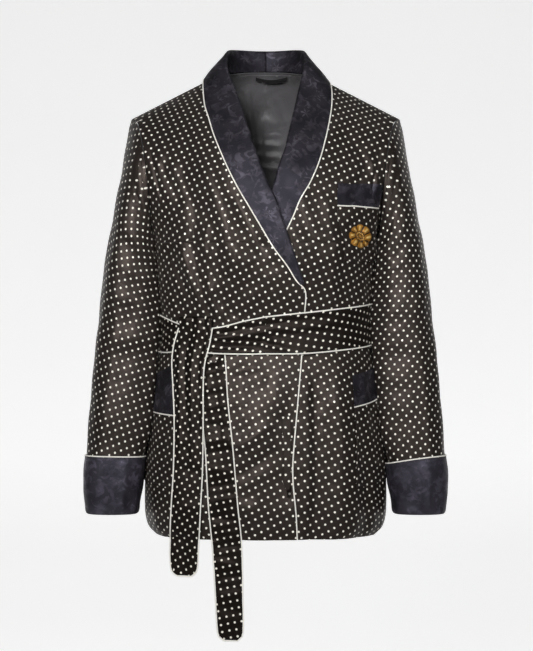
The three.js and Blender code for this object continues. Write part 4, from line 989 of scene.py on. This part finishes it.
tops = neck_level(BACK_SHARES)
back_levels = np.where(LEVELS[:, None] < 1, mix(tops[None, :], 1, np.minimum(LEVELS, 1)[:, None]), LEVELS[:, None])
sew_panel("back", torso_point("back", back_levels, BACK_SHARES[None, :]), LATTICE_TURN)
for made, *_ in PIECES:
    print(made.name, [round(side, 3) for side in made["cut_size"]], round(made["cut_area"], 3))

# %% [markdown]
# ## Sleeves and cuffs
# A sleeve is one piece closed by a seam on the inner side, crushed into soft rings where an arm would bend it. The
# cuff is turned back over it, so its fold is the lower edge and its piped edge is the upper one.

# %% Sleeves and cuffs
SIDES = {"right": -1, "left": 1}


def along_rows(table, at):
    rows = {**table, "place": np.linspace(0, 1, len(table["outX"]))}
    return {key: read(rows, "place", key, at) for key in table}


# How far a direction lies round the tube from another, from -180 to 180 degrees
def turned_from(degrees, side):
    return (degrees - side + 540) % 360 - 180


def sleeve_lift(folds, place, degrees):
    lift = 0
    for at, side, spread, width, height in zip(*folds.values()):
        turn = turned_from(degrees, side)
        slant = 0.00014 * turn * (1 if at * 100 % 2 < 1 else -1)
        lift = lift + height * bell(turn, spread) * bell(place + slant - at, width)
    return lift


# Long soft facets down the sleeve, where the cloth hangs over the arm's width
FACET = "side width height from_place to_place"
FACETS = {
    "right": columns(FACET, [
        (62, 15, 2.6, 0.06, 0.96), (28, 12, -1.8, 0.1, 0.9), (96, 13, -2.4, 0.12, 0.98), (128, 14, 1.9, 0.2, 0.94),
        (155, 10, -1.6, 0.28, 0.9), (5, 11, 1.5, 0.2, 0.95), (230, 16, 2.2, 0.1, 0.95), (275, 18, -2.2, 0.1, 0.95),
        (320, 16, 2, 0.1, 0.95)]),
    "left": columns(FACET, [
        (70, 14, 2.4, 0.05, 0.97), (36, 13, -2, 0.12, 0.92), (104, 12, -2.2, 0.1, 0.96), (136, 14, 2, 0.22, 0.95),
        (12, 12, 1.6, 0.16, 0.93), (160, 10, -1.4, 0.3, 0.92), (225, 18, 2, 0.1, 0.95), (268, 16, -2.4, 0.1, 0.95),
        (312, 18, 1.9, 0.1, 0.95)]),
}


def facet_lift(facets, place, degrees):
    lift = 0
    for side, width, height, begin, finish in zip(*facets.values()):
        turn = turned_from(degrees, side) + 14 * np.sin(place * 9 + side)
        ends = smooth((place - begin) * 8) * smooth((finish - place) * 8)
        lift = lift + height * bell(turn, width) * ends
    return lift


LARGE_PART, FINE_PART, FACET_PART = 0.66, 0.48, 0.5
RUMPLE_SEEDS = {"right": 23, "left": 21}
LEAN, LEAN_SIDE, LEAN_SPREAD = (8, 12), 154, 22


def sleeve_point(name, t, degrees):
    t, degrees = np.broadcast_arrays(t, degrees)
    angle = np.radians(degrees)
    get = along_rows(SLEEVE_ROWS, t)
    cos = np.cos(angle)
    level = np.abs((angle / np.pi + 1) % 2 - 1)
    bow = (armhole_x(level) - mix(ARMPIT_X, TIP_X, (1 + cos) / 2)) * get["armhole"]
    lift = LARGE_PART * sleeve_lift(SLEEVE_FOLDS, t, degrees)
    small = FINE_PART * sleeve_lift(FINE_SLEEVE[name], t, degrees) + FACET_PART * facet_lift(FACETS[name], t, degrees)
    fade = smooth(t * 20)
    lift = lift + fade * small
    lift = lift + fade * rumple(degrees * 1.1, t * 560, RUMPLE_SEEDS[name], 0.3)
    round_power = mix(1, 0.66, smooth(t * 4))
    deep = np.sign(np.sin(angle)) * np.abs(np.sin(angle)) ** round_power
    out_half = (get["outX"] - get["inX"]) / 2
    x = (get["outX"] + get["inX"]) / 2 + (out_half + lift * np.abs(cos)) * cos + bow
    z = (get["outZ"] + get["inZ"]) / 2 + (get["outZ"] - get["inZ"]) / 2 * cos
    # The front of the inner side leans over the coat's side, so no gap shows between them
    lean = bell((degrees + 360) % 360 - LEAN_SIDE, LEAN_SPREAD) * mix(*LEAN, smooth((t - 0.3) * 6))
    lean = lean * smooth((t - 0.03) * 10) * smooth((0.835 - t) * 12)
    return np.stack([SIDES[name] * (x - lean), get["midY"] - (get["halfDepth"] + lift) * deep, z], -1)


def ring_degrees(name, count):
    turn = np.linspace(180, -180, count, endpoint=False)
    return turn if name == "left" else -turn


def tube_uv(grid, turn, reach):
    wide = closed_uv(grid)
    round_it = np.linspace(-reach, reach, wide.shape[1])[None, :]
    return flatten(wide, stacked(round_it, -running_mean(grid, 0)[:, None]), turn)


# Ridges down a cuff: where they stand, how wide, how high
CUFF_RIDGES = {"right": [(110, 11, 4.4), (76, 12, -1.6), (140, 10, -1.6)],
               "left": [(76, 11, 4.4), (108, 12, -1.6), (45, 10, -1)]}
CUFF_SEEDS = {"right": 33, "left": 31}
CUFF_SINKS = {"right": 1.5, "left": 13}
CUFF_TOP, CUFF_HEIGHT, CUFF_Y = -614, 93, -38


def cuff_grid(name):
    degrees = ring_degrees(name, COLUMNS)[None, :]
    angle, around = np.radians(degrees), degrees % 360
    get = along_rows(CUFF_ROWS, near_edges(ROWS // 2, 0, 1)[:, None])
    z = get["z"]
    soft = rumple(around * 0.9, z, CUFF_SEEDS[name], 0.45)
    for at, width, height in CUFF_RIDGES[name]:
        grown = mix(0.35, 1.5, (CUFF_TOP - z) / CUFF_HEIGHT)
        soft = soft + height * grown * bell(around - at, width)
    soft = soft * smooth((z - CUFF_TOP + CUFF_HEIGHT) / 16) * smooth((CUFF_TOP - z) / 12)
    sunk = CUFF_SINKS[name] * ((1 - np.cos(angle)) / 2) ** 1.8
    half = (get["outX"] - get["inX"]) / 2 - get["inward"]
    x = SIDES[name] * ((get["outX"] + get["inX"]) / 2 + (half + soft) * np.cos(angle))
    deep = np.sign(np.sin(angle)) * np.abs(np.sin(angle)) ** 0.7
    y = CUFF_Y - (get["halfDepth"] - get["inward"] + soft) * deep
    return stacked(x, y, z - sunk * smooth((z + 700) / 80))


SLEEVE_TURNS = {"right": -21, "left": -34}
SLEEVE_X, SLEEVE_YZ = 238, (-15, -380)
SLEEVE_SPREAD, CUFF_SPREAD = 200, 155
for name, side in SIDES.items():
    grid = sleeve_point(name, near_edges(ROWS, 0, 1)[:, None], ring_degrees(name, COLUMNS)[None, :])
    uv = tube_uv(grid, SLEEVE_TURNS[name], SLEEVE_SPREAD)
    made = shell(f"sleeve_{name}_cloth", grid, uv, CLOTH_WALL, silk, lining, closed=True,
                 centre=(side * SLEEVE_X, *SLEEVE_YZ))
    dress(made, ["sleeve_" + name], "silk", "draped")
    cuff = cuff_grid(name)
    made = shell(f"cuff_{name}_cloth", cuff, tube_uv(cuff, 0, CUFF_SPREAD), DOUBLE_WALL, figured_cuff_painted_highlight, closed=True)
    dress(made, ["cuff_" + name], "jacquard", "laid", rests_on=[f"sleeve_{name}_cloth"])
    pipe("cuff_" + name, cuff[0] + [0, 0, CORD_ROOM], True)
    below = cuff[2] + (cuff[2] - cuff[2].mean(0)) * [0.012, 0.02, 0]
    stitches(f"cuff_{name}_stitches", [np.concatenate([below, below[:1]])])
print("sleeves and cuffs", len(PIECES))

# %% [markdown]
# ## Shawl collar
# Two halves joined at the centre back. Each line runs from the neck seam up over the roll and out to the piped
# edge. The line of the front below carries the lapel, so it follows the cloth that it lies on.

# %% Shawl collar
COLLAR_LIFT, COLLAR_FOLD = 3.4, 3.2
LAPEL_TOP, LAPEL_LEAST_LIFT = -70, 2.6


def along_curve(points, count):
    steps = running(points, 0)
    at = near_edges(count, 0, steps[-1])
    table = {"s": steps, **{str(k): points[:, k] for k in range(points.shape[1])}}
    return np.stack([read(table, "s", str(k), at) for k in range(points.shape[1])], -1)


def collar_grid(name, stations, count, across_count):
    side, panel = SIDES[name], "front_" + name

    def placed(point, lift):
        x, y, z = point
        return point_on(panel, side * x, z, lift) if y is None else np.array([side * x, y, z], float)

    def tucked(roll, edge, fold, inward):
        return point_on(panel, side * mix(roll[0], edge[0], inward), mix(roll[2], edge[2], inward), -fold)

    lines = []
    for roll, edge, seam in stations:
        on_cloth = (roll[1] is None, edge[1] is None)
        r, e = placed(roll, 0), placed(edge, COLLAR_LIFT)
        width = np.linalg.norm(e - r)
        fold, inward = min(COLLAR_FOLD, width / 3), min(9, width * 0.7) / width
        s = np.array([side * seam[0], seam[1], seam[2]], float) if seam else tucked(roll, edge, fold, inward)
        tip = unit(r - (s + e) / 2)
        out = unit(e - s - tip * (e - s).dot(tip))

        def at(back, outward):
            return r - tip * back * fold + out * outward * fold

        line = [s, mix(s, at(1.6, -1), 0.6), at(0.9, -1), at(0.25, -0.65), at(0, 0), at(0.25, 0.65), at(1, 1)]
        for share in (0.25, 0.5, 0.75, 1):
            point = mix(at(1, 1), e, share)
            if all(on_cloth):
                point = point_on(panel, point[0], point[2], COLLAR_LIFT)
            else:
                point = point + out * 4 * share * (1 - share) * 3
            line.append(point)
        lines.append(np.array(line))
    coarse = np.array(lines)
    coarse[0, :, 0] = side * 0.03
    fine = np.array([along_curve(coarse[:, c], count) for c in range(coarse.shape[1])]).transpose(1, 0, 2)
    return np.array([along_curve(line, across_count) for line in fine])


# Half a cord and a seam's gap out from an edge, so that a cord can lie along it
def past_edge(edge, inside):
    return edge + CORD_ROOM * unit(edge - inside)


for name, stations in (("right", COLLAR_RIGHT), ("left", COLLAR_LEFT)):
    side, panel = SIDES[name], "front_" + name
    grid = collar_grid(name, stations, ROWS, 44)
    # Where the lapel lies on the front it never sinks below a small lift over it
    check = (grid[..., 2] < LAPEL_TOP) & (np.arange(grid.shape[1]) > grid.shape[1] * 0.5)[None, :]
    under = point_on(panel, grid[check][:, 0], grid[check][:, 2], LAPEL_LEAST_LIFT)
    grid[check, 1] = np.minimum(grid[check][:, 1], under[:, 1])
    start = stacked(side * running(grid, 1), -running_mean(grid, 0)[:, None])
    made = shell(f"collar_{name}_cloth", grid, flatten(grid, start, 0, LONG_RELAX), DOUBLE_WALL, figured)
    dress(made, ["collar_" + name], "jacquard", "folded", rests_on=[panel + "_cloth"])
    # The cord follows the collar's edge to the lapel's foot, rounds the corner and goes down the front's edge
    foot = stations[-1][0]
    turn = point_on(panel, side * (foot[0] - 1.2), foot[2] - 10, 2.4)
    edge = past_edge(GRIDS[panel][:, 0], GRIDS[panel][:, 3])
    path = np.concatenate([past_edge(grid[:, -1], grid[:, -2]), turn[None], edge[edge[:, 2] < turn[2] - 10]])
    corner = len(grid)
    rounded = along_curve(path[[corner - 4, corner, corner + 6]], 18)[2:-2]
    pipe("front_" + name, np.concatenate([path[:corner - 3], rounded, path[corner + 7:]]))
print("collar", grid.shape)

# %% [markdown]
# ## Patch pockets and the rosette
# Each pocket is laid on the front and follows its folds. The band closes its top and a cord lies between the two.
# The ornament on the chest pocket is a plain rosette of gold thread: petals round a small heart.

# %% Patch pockets and the rosette
# Each edge of a pocket: the levels of its top, its band's foot and its bottom, and how far round its ends lie
def pocket(panel, side, lift, *edges):
    names = "top band bottom girth_top girth_bottom".split()
    front, edge = (dict(zip(names, line)) for line in edges)
    return {"panel": panel, "side": side, "lift": lift, "front": front, "edge": edge}


POCKETS = {
    "chest": pocket("front_left", 1, 2.9, (-175, -210.5, -299, 129, 119), (-173.5, -211.5, -296, 259, 206)),
    "hip_left": pocket("front_left", 1, 2.2, (-482, -533, -664, 136, 128), (-462, -514, -646, 252, 250)),
    "hip_right": pocket("front_right", -1, 2.3, (-464, -547, -664, 136, 128), (-492, -539, -652, 252, 250)),
}


BAND_OVER_POCKET = 0.4


def pocket_grid(own, begin, finish, shifts, rows, count, lift):
    def girth_at(edge, z):
        return mix(edge["girth_top"], edge["girth_bottom"], (z - edge["top"]) / (edge["bottom"] - edge["top"]))

    down, share = near_edges(rows, 0, 1)[:, None], near_edges(count, 0, 1)[None, :]
    front, edge = own["front"], own["edge"]
    front_z = mix(front[begin] + shifts[0], front[finish] + shifts[1], down)
    side_z = mix(edge[begin] + shifts[0], edge[finish] + shifts[1], down)
    girth = mix(girth_at(front, front_z), girth_at(edge, side_z), share)
    return point_round(own["panel"], own["side"] * girth, mix(front_z, side_z, share), lift)


stitch_lines = []
for name, own in POCKETS.items():
    body = pocket_grid(own, "band", "bottom", [-CORD_ROOM, 0], 46, 46, own["lift"])
    band = pocket_grid(own, "top", "band", [0, CORD_ROOM], 22, 46, own["lift"] + BAND_OVER_POCKET)
    for part, grid, coat, slot, turn in (("pocket", body, silk, "silk", -LATTICE_TURN),
                                         ("band", band, figured, "jacquard", 0)):
        uv = flatten(grid, laid_out(grid), turn)
        made = shell(f"{part}_{name}_cloth", grid, uv, CLOTH_WALL, coat, centre=MIDDLE)
        dress(made, [f"{part}_{name}"], slot, "laid", rests_on=[own["panel"] + "_cloth"])
    pipe("pocket_" + name, pocket_grid(own, "band", "band", [0, 0], 2, 46, own["lift"] + BAND_OVER_POCKET)[0])
    inset = pocket_grid(own, "band", "bottom", [-6, 3], 46, 46, own["lift"] + CLOTH_WALL / 2 + 0.1)
    stitch_lines.append(np.concatenate([inset[:, 2], inset[-3, 2:-2], inset[::-1, -3]]))
stitches("pocket_stitches", stitch_lines)

PETALS = 8
ROSETTE_X, ROSETTE_Z, ROSETTE_LIFT = 149, -258, 4.1
ROSETTE_WIDE, ROSETTE_HIGH = 18.5, 20
reach = np.concatenate([np.linspace(0.02, 0.96, 34), [0.985, 1]])[:, None]
turn = np.linspace(0, 2 * np.pi, PETALS * 30, endpoint=False)[None, :]
crest = np.abs(np.cos(turn * PETALS / 2))
between = 1 - crest
petal = 1 - 0.14 * between ** 1.5 * reach
slot = smooth((between - 0.52) * 6) * smooth((reach - 0.42) * 12) * smooth((0.97 - reach) * 12)
ridge = 1.1 * smooth((reach - 0.46) * 14) * smooth((1.04 - reach) * 7) * (1 - slot)
ridge = ridge + 0.5 * crest ** 6 * smooth((reach - 0.5) * 8) * smooth((0.95 - reach) * 8)
beads = 1.8 * bell(reach - 0.37, 0.07) * (0.15 + 0.85 * np.cos(turn * PETALS) ** 2)
raised = ridge + 1.3 * smooth((0.24 - reach) * 14) + beads
x = ROSETTE_X + ROSETTE_WIDE * reach * petal * np.cos(turn)
z = ROSETTE_Z + ROSETTE_HIGH * reach * petal * np.sin(turn)
uv = closed_uv(stacked(turn * 14, 20 * reach))
made = shell("rosette_work", point_on("front_left", x, z, ROSETTE_LIFT + raised), uv, ROSETTE_WALL, gold, closed=True,
             centre=(0, SIDE_Y, ROSETTE_Z))
layer = made.data.attributes.new("raised", "FLOAT", "POINT")
layer.data.foreach_set("value", np.tile(raised.ravel(), 2))
dress(made, ["rosette"], "gold")
print("pockets and rosette done")

# %% [markdown]
# ## Tie belt
# The band goes all the way round and is squeezed where it is tied. Both ends come out of the knot at the wearer's
# right: the front one is drawn up, folded over and hangs down in gathers, the other hangs below it to its left.

# %% Tie belt
BELT_FOLDS = columns("turn1 up1 turn2 up2 width height", [
    (0.9, 0.5, 1.08, 0.72, 0.16, -1.5), (0.9, 0.15, 1.12, 0.3, 0.16, 1.6), (0.9, 0.02, 0.975, -0.22, 0.085, -3.4),
    (0.94, -0.17, 1.006, -0.34, 0.085, -3.2), (0.985, -0.3, 1.035, -0.88, 0.09, -2.8),
    (0.9, -0.5, 0.99, -0.66, 0.12, 1.8), (0.905, -0.75, 0.97, -0.85, 0.1, -1.3), (0.8, 0.6, 0.88, 0.4, 0.16, -1.4),
    (0.78, 0.0, 0.88, 0.05, 0.16, 1.5), (0.8, -0.55, 0.88, -0.35, 0.15, -1.5), (1.06, 0.02, 1.19, 0.1, 0.2, -1.2),
    (0.3, 0.4, 0.42, 0.2, 0.22, -1.3), (0.46, -0.3, 0.6, -0.1, 0.22, -1.3), (0.62, 0.4, 0.74, 0.1, 0.2, 1.2),
    (0.98, 0.4, 1.16, 0.55, 0.12, 1.0), (1.0, -0.75, 1.14, -0.6, 0.12, 0.9),
])


def waist_point(turn, z, lift):
    turn, z, lift = np.broadcast_arrays(turn, z, lift)
    quarter = turn % 1
    row = torso_row(1 + (z - ARMPIT_Z) / (HEM_Z - ARMPIT_Z))
    front = (quarter < 0.25) | (quarter > 0.75)
    share = np.where(front, np.where(quarter < 0.5, quarter * 4, (quarter - 1) * 4), 2 - quarter * 4)
    out = across(row, np.abs(share))
    bend = np.clip(np.cos(row["turn"] * evenly(np.abs(share))), 0, None) ** ROUND
    x = np.sign(share) * row["half"] * out
    deep = np.where(front, torso_depth("front", row, x), torso_depth("back", row, x))
    y = deep * bend * np.where(front, -1, 1)
    away = unit(np.stack([x / row["half"] ** 2, y / deep**2, 0 * x], -1))
    return np.stack([x, SIDE_Y + y, z], -1) + away * lift[..., None]


def belt_lift(turn, up):
    lift = 0
    for t1, u1, t2, u2, width, height in zip(*BELT_FOLDS.values()):
        for lap in (0, 1):
            dt, du = (t2 - t1) * 6, u2 - u1
            a, b = (turn + lap - t1) * 6, up - u1
            t = np.clip((a * dt + b * du) / (dt * dt + du * du), 0, 1)
            away = np.hypot(a - t * dt, b - t * du)
            lift = lift + height * bell(away, width) * smooth(np.minimum(t * 6, (1 - t) * 4) + 0.15)
    return lift


BELT_LENGTH, BELT_TURN, BELT_SEED = 1010, 14, 41
BELT_LIFT, KNOT_LIFT, KNOT_TURN, KNOT_SPREAD = 4.4, 5, 0.897, 0.05
turns = np.linspace(0, 1, 420, endpoint=False)[None, :]
ups = np.linspace(1, -1, 26).round(5)[:, None]
rim = smooth((1 - np.abs(ups)) * 6)
waves = belt_lift(turns, ups) * 0.8 + rumple(turns * 1080, ups * 30, BELT_SEED, 0.35)
lift = BELT_LIFT + KNOT_LIFT * bell(turns - KNOT_TURN, KNOT_SPREAD) + rim * waves
lift = lift + 0.5 * np.cos(turns * 2 * np.pi * 3)
lift = lift - 1.2 * bell(np.minimum(np.abs(turns - 0.25), np.abs(turns - 0.75)), 0.03)
belt = waist_point(turns, read(BELT_ROWS, "turn", "z", turns) + ups * read(BELT_ROWS, "turn", "half", turns), lift)
around = np.linspace(0, 1, belt.shape[1] + 1)[None, :]
uv = stacked(around * BELT_LENGTH, ups * read(BELT_ROWS, "turn", "half", around % 1))
made = shell("belt_band_cloth", belt, rotated(uv, BELT_TURN), CLOTH_WALL, belt_silk_painted_shade, closed=True,
             centre=(0, SIDE_Y, -405))
dress(made, ["belt_band"], "silk", "stretched", rests_on=["front_right_cloth", "front_left_cloth", "back_cloth"])
pipe("belt_upper", belt[0] + [0, 0, CORD_ROOM], True)
pipe("belt_lower", belt[-1] - [0, 0, CORD_ROOM], True)


def in_front(x, z, lift):
    x, z, lift = np.broadcast_arrays(np.asarray(x, float), z, lift)
    under = x.copy()
    point = point_on("front_right", under, z, lift)
    for _ in range(4):
        under = under - (point[..., 0] - x)
        point = point_on("front_right", under, z, lift)
    return point


def tail_grid(rows, z, shares, lift=None):
    z = np.asarray(z, float)[:, None]
    x1, x2 = read(rows, "z", "x1", z), read(rows, "z", "x2", z)
    lift = read(rows, "z", "lift", z) if lift is None else np.asarray(lift, float)[:, None]
    held = np.maximum(z, HEM_Z)
    middle = in_front((x1 + x2) / 2, held, lift)[..., 1]
    x = mix(x1, x2, shares[None, :])
    lying = in_front(x, held, lift)[..., 1]
    stiff = np.where(z < HEM_Z, 0.6, 0.25 * smooth((lift - 3) / 6))
    return np.stack([x, np.minimum(lying, mix(lying, middle, stiff)), z + 0 * x], -1)


def tail_folds(grid, gathers, wrinkles, seed):
    share = np.linspace(0, 1, grid.shape[1])[None, :]
    z = grid[..., 2]
    lift = rumple((share - 0.5) * 45, z, seed, 0.45) + 0 * z
    for at, width, height, top, bottom, drift in gathers:
        t = (top - z) / (top - bottom)
        ends = smooth((1 - t) * 2.5) * smooth(t * 6 + 0.6)
        lift = lift + height * bell(share - at - drift * t, width) * ends
    for at, height, width, tilt, reach, centre in wrinkles:
        near = bell(z - at - tilt * (share - 0.5), width)
        lift = lift + 1.7 * height * near * bell(share - centre, reach)
    grid = grid.copy()
    grid[..., 1] -= between_ends(share) * lift
    return grid


def tail_path(grid):
    path = np.concatenate([grid[:, 0], grid[-1, 1:-1], grid[::-1, -1]])
    along = np.gradient(path, axis=0)
    along = unit(along * [1, 0, 1])
    return path + CORD_ROOM * np.stack([along[:, 2], 0 * along[:, 0], -along[:, 0]], -1)


SHARES = near_edges(34, 0, 1)
TAIL_STEP = 3
# Gathers: place, width, height, top, bottom, drift. Wrinkles: level, height, width, tilt, reach, centre
GATHERS_FRONT = [(0.22, 0.07, 1.8, -404, -640, -0.02), (0.4, 0.06, -2, -404, -560, 0.03),
                 (0.58, 0.07, 1.7, -404, -700, 0.05), (0.78, 0.06, -1.6, -404, -600, 0.02),
                 (0.9, 0.05, 1, -404, -520, -0.02)]
WRINKLES_FRONT = [(-585, 0.9, 7, 6, 0.4, 0.3), (-632, -0.9, 8, -8, 0.4, 0.6), (-690, 0.8, 8, 6, 0.5, 0.4),
                  (-742, -0.8, 8, 5, 0.4, 0.5)]
GATHERS_BACK = [(0.3, 0.08, 1.3, -424, -560, 0.05), (0.62, 0.08, -1.4, -424, -620, -0.03)]
WRINKLES_BACK = [(-457, -2, 6, 20, 0.5, 0.5), (-474, 1.4, 6, 12, 0.5, 0.4), (-512, -1.2, 6, 7, 0.45, 0.5),
                 (-531, 1, 5, 7, 0.5, 0.4), (-561, -1.1, 6, -7, 0.5, 0.6), (-583, 1.1, 6, 6, 0.45, 0.4),
                 (-601, -1, 5, 7, 0.5, 0.6), (-633, 1.1, 7, -6, 0.4, 0.5), (-655, -1.1, 6, 8, 0.5, 0.5),
                 (-678, 1, 5, 6, 0.4, 0.6), (-708, -1.2, 6, -7, 0.5, 0.4), (-733, 1.1, 6, 7, 0.5, 0.6),
                 (-752, -1, 5, 6, 0.4, 0.5), (-781, 1.1, 6, -8, 0.5, 0.4), (-800, -1.1, 6, 6, 0.4, 0.6),
                 (-829, 1, 6, 7, 0.4, 0.5), (-851, -1, 5, -6, 0.5, 0.4), (-871, 0.9, 6, 6, 0.4, 0.5)]


def whole_tail(rows, gathers, wrinkles, seed):
    z = rows["z"]
    body = np.linspace(z[0], z[-4], int((z[0] - z[-4]) / TAIL_STEP))
    z = np.unique(np.concatenate([body, np.linspace(z[-4], z[-1], 12)]))[::-1]
    return tail_folds(tail_grid(rows, z, SHARES), gathers, wrinkles, seed)


def sew_tail(name, grid, uv, path, under):
    made = shell(f"belt_tail_{name}_cloth", grid, uv, CLOTH_WALL, belt_silk_painted_shade)
    dress(made, ["belt_tail_" + name], "silk", "hung", rests_on=[under])
    pipe("tail_" + name, tail_path(path))


front_tail = whole_tail(TAIL_FRONT_ROWS, GATHERS_FRONT, WRINKLES_FRONT, 51)
fold_table = {"s": np.arange(len(KNOT_FOLD["z"]) + 1.0), "z": np.append(KNOT_FOLD["z"], TAIL_FRONT_ROWS["z"][0]),
              "lift": np.append(KNOT_FOLD["lift"], TAIL_FRONT_ROWS["lift"][0])}
at = np.linspace(0, fold_table["s"][-1], 34)[:-1]
first = {key: np.repeat(TAIL_FRONT_ROWS[key][0], 2) for key in ("x1", "x2", "lift")}
first["z"] = np.array([-300.0, -500.0])
over = tail_grid(first, read(fold_table, "s", "z", at), SHARES, read(fold_table, "s", "lift", at))
pull = smooth(at / fold_table["s"][-1])[:, None]
gathered = sum(height * bell(SHARES[None, :] - place, width)
               for place, width, height, *_ in GATHERS_FRONT)
over[..., 1] -= pull * gathered * between_ends(SHARES)
whole = np.concatenate([over, front_tail])
# It is gathered finer than the grid can show, so it is a fifth wider in the flat and its dots stand closer
sew_tail("front", whole, rotated(flatten(whole, hung_out(whole)) * [1.2, 1], -32), front_tail, "belt_band_cloth")
back_tail = whole_tail(TAIL_BACK_ROWS, GATHERS_BACK, WRINKLES_BACK, 53)
sew_tail("back", back_tail, flatten(back_tail, back_tail[..., ::2], -12), back_tail, "front_right_cloth")
print("belt", belt.shape, "tails", whole.shape, back_tail.shape)

# %% [markdown]
# ## Lining in the neck and the loop
# The back's lining shows in the neck. A pleat runs down from the loop and a few slack folds cross it. The loop is a
# plain strip of tape with nothing woven into it.

# %% Lining in the neck and the loop
LINING_FOLDS = columns(FOLD, [
    (-32, 4, -17, -116, 4.5, 3.4), (-8, -38, -6, -128, 2.2, 1.7), (-6, -50, 24, -63, 7, 2),
    (-10, -79, 36, -80, 1.7, 1.1), (-32, -90, 32, -98, 4.6, 2.8),
    (-30, -110, 30, -117, 4.6, 3), (-26, -130, 28, -137, 4.2, 2.8),
    (-46, -8, -24, -62, 4.5, 2.4), (-40, 2, -30, -34, 3.6, 1.8), (16, -10, 42, -66, 6.5, 2.6),
    (0, -2, 2, -34, 5, 1.4),
])
# Pieces that face the front take a point far behind them as the side their back is on
FAR_BACK, LOOP_Z = 500, 16
LINING_FOOT, LINING_REACH = 9 / 11, 0.87 * NECK_SHARE
lining_levels = near_edges(90, 0, LINING_FOOT)
lining_shares = near_edges(80, -LINING_REACH, LINING_REACH)
tops = neck_level(lining_shares)[None, :]
levels = np.maximum(mix(tops, 1, lining_levels[:, None]), tops + 0.008)
base = torso_point("back", levels, lining_shares[None, :])
rim = smooth(lining_levels * 9)[:, None] * smooth((1 - np.abs(lining_shares) / lining_shares[-1]) * 4)[None, :]
folds = fold_lift(LINING_FOLDS, base[..., 0], base[..., 2]) * rim
inward = mix(2.95, 1.9, smooth(lining_levels * 12)[:, None]) + np.maximum(folds + 0.3, -0.2)
grid = lifted("back", levels, lining_shares[None, :], -inward)
made = shell("lining_back_cloth", grid, flatten(grid, hung_out(grid)), LINING_WALL, lining,
             centre=(0, FAR_BACK, -60))
dress(made, ["lining_back"], "lining", "hung", rests_on=["back_cloth"])

LOOP_ENDS, LOOP_HALF = (-18, 38), 3
LOOP_INWARD, LOOP_SLACK, LOOP_DROP = 5.6, 4, 2.5
share = near_edges(60, 0, 1)[None, :]
sag = 4 * share * (1 - share)
up = np.linspace(1, -1, 7)[:, None]
inward = LOOP_INWARD + LOOP_SLACK * sag + 0 * up
grid = point_on("back", mix(*LOOP_ENDS, share), LOOP_Z - LOOP_DROP * sag + up * LOOP_HALF, -inward)
made = shell("hanger_loop_tape", grid, grid[..., ::2], TAPE_WALL, tape, centre=(0, FAR_BACK, LOOP_Z))
dress(made, ["hanger_loop"], "loop", "hung", rests_on=["lining_back_cloth"])
print("pieces", len(PIECES))

# %% [markdown]
# ## Attaching the pieces
# Each piece rides on the coat's one body and stands for its solid. Each cloth tells the size that it was cut to.

# %% Attaching the pieces
for made, nodes, slot, held, rests_on in PIECES:
    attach(made, "root")
    if nodes:
        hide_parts(*nodes)
print("triangles about", sum(len(made.data.polygons) * 2 for made, *_ in PIECES))

# %% [markdown]
# ## Room, light and camera
# A pale sheet of paper sweeps up far behind the coat, and the part behind it is lit through. A large soft light
# stands to the upper left in front, with a weaker one to the right, one overhead, and a small one that touches the
# chest. The camera stands level in front, as far off as for a catalogue shot.

# %% Room, light and camera
SWEEP_HALF = 9
SWEEP = [(-9, -2), (4.6, -2), (5.2, -1.96), (5.7, -1.85), (6.1, -1.68), (6.4, -1.4), (6.5, -1), (6.5, 3)]
count = len(SWEEP)
mesh = bpy.data.meshes.new("paper_sweep")
mesh.from_pydata([(x, y, z) for x in (-SWEEP_HALF, SWEEP_HALF) for y, z in SWEEP], [],
                 [(i, i + 1, count + i + 1, count + i) for i in range(count - 1)])
mesh.shade_smooth()
paper = bpy.data.objects.new("paper_sweep", mesh)
bpy.context.scene.collection.objects.link(paper)
backdrop, tree, shader, uv = new_material("matt_backdrop_paper", Roughness=0.9, Specular_IOR_Level=0.2)
place = object_place(tree)
paint(tree, shader, noise(tree, place, 3, 2), "dcdcdc", "e2e2e2")
# The paper behind the coat is lit through from its back, the floor isn't
behind = add_node(tree, "ShaderNodeSeparateXYZ", {0: place}).outputs[1]
tree.links.new(ramp(tree, behind, 2.2, 5.4, 0.0, 0.62), shader.inputs["Emission Strength"])
shader.inputs["Emission Color"].default_value = srgb("ffffff")
mesh.materials.append(backdrop)


def area_light(name, place, target, size, power):
    data = bpy.data.lights.new(name, "AREA")
    data.shape, data.size, data.energy = "SQUARE", size, power
    made = bpy.data.objects.new(name, data)
    made.location = place
    aim = Vector(target) - Vector(place)
    made.rotation_euler = aim.to_track_quat("-Z", "Y").to_euler()
    bpy.context.scene.collection.objects.link(made)
    return made


COAT = (0, 0, -0.4)
area_light("softbox_left", (-0.9, -3.4, 1.0), COAT, 1.0, 80)
area_light("softbox_right", (1.7, -3.0, 0.1), COAT, 0.8, 22)
area_light("overhead", (0.3, -0.4, 2.2), COAT, 1.2, 5)
gridded = area_light("gridded_softbox", (-0.7, -3.3, 0.5), (-0.02, -0.14, -0.24), 0.3, 0.22)
gridded.data.spread = math.radians(15)

world = bpy.data.worlds.new("studio")
world.use_nodes = True
ROOM_LIGHT = 0.11
background = world.node_tree.nodes["Background"].inputs
background[0].default_value, background[1].default_value = srgb("ffffff"), ROOM_LIGHT
bpy.context.scene.world = world

CAMERA_PLACE, LENS = (0.0015, -3.8, -0.4018), 155.55
camera = bpy.data.cameras.new("front_camera")
camera.sensor_fit, camera.sensor_width, camera.lens = "HORIZONTAL", 36, LENS
camera.clip_end = 60
view = bpy.data.objects.new("front_camera", camera)
view.location, view.rotation_euler = CAMERA_PLACE, (math.pi / 2, 0, 0)
bpy.context.scene.collection.objects.link(view)
bpy.context.scene.camera = view
bpy.context.scene.view_settings.view_transform = "Standard"
print("room and camera ready")
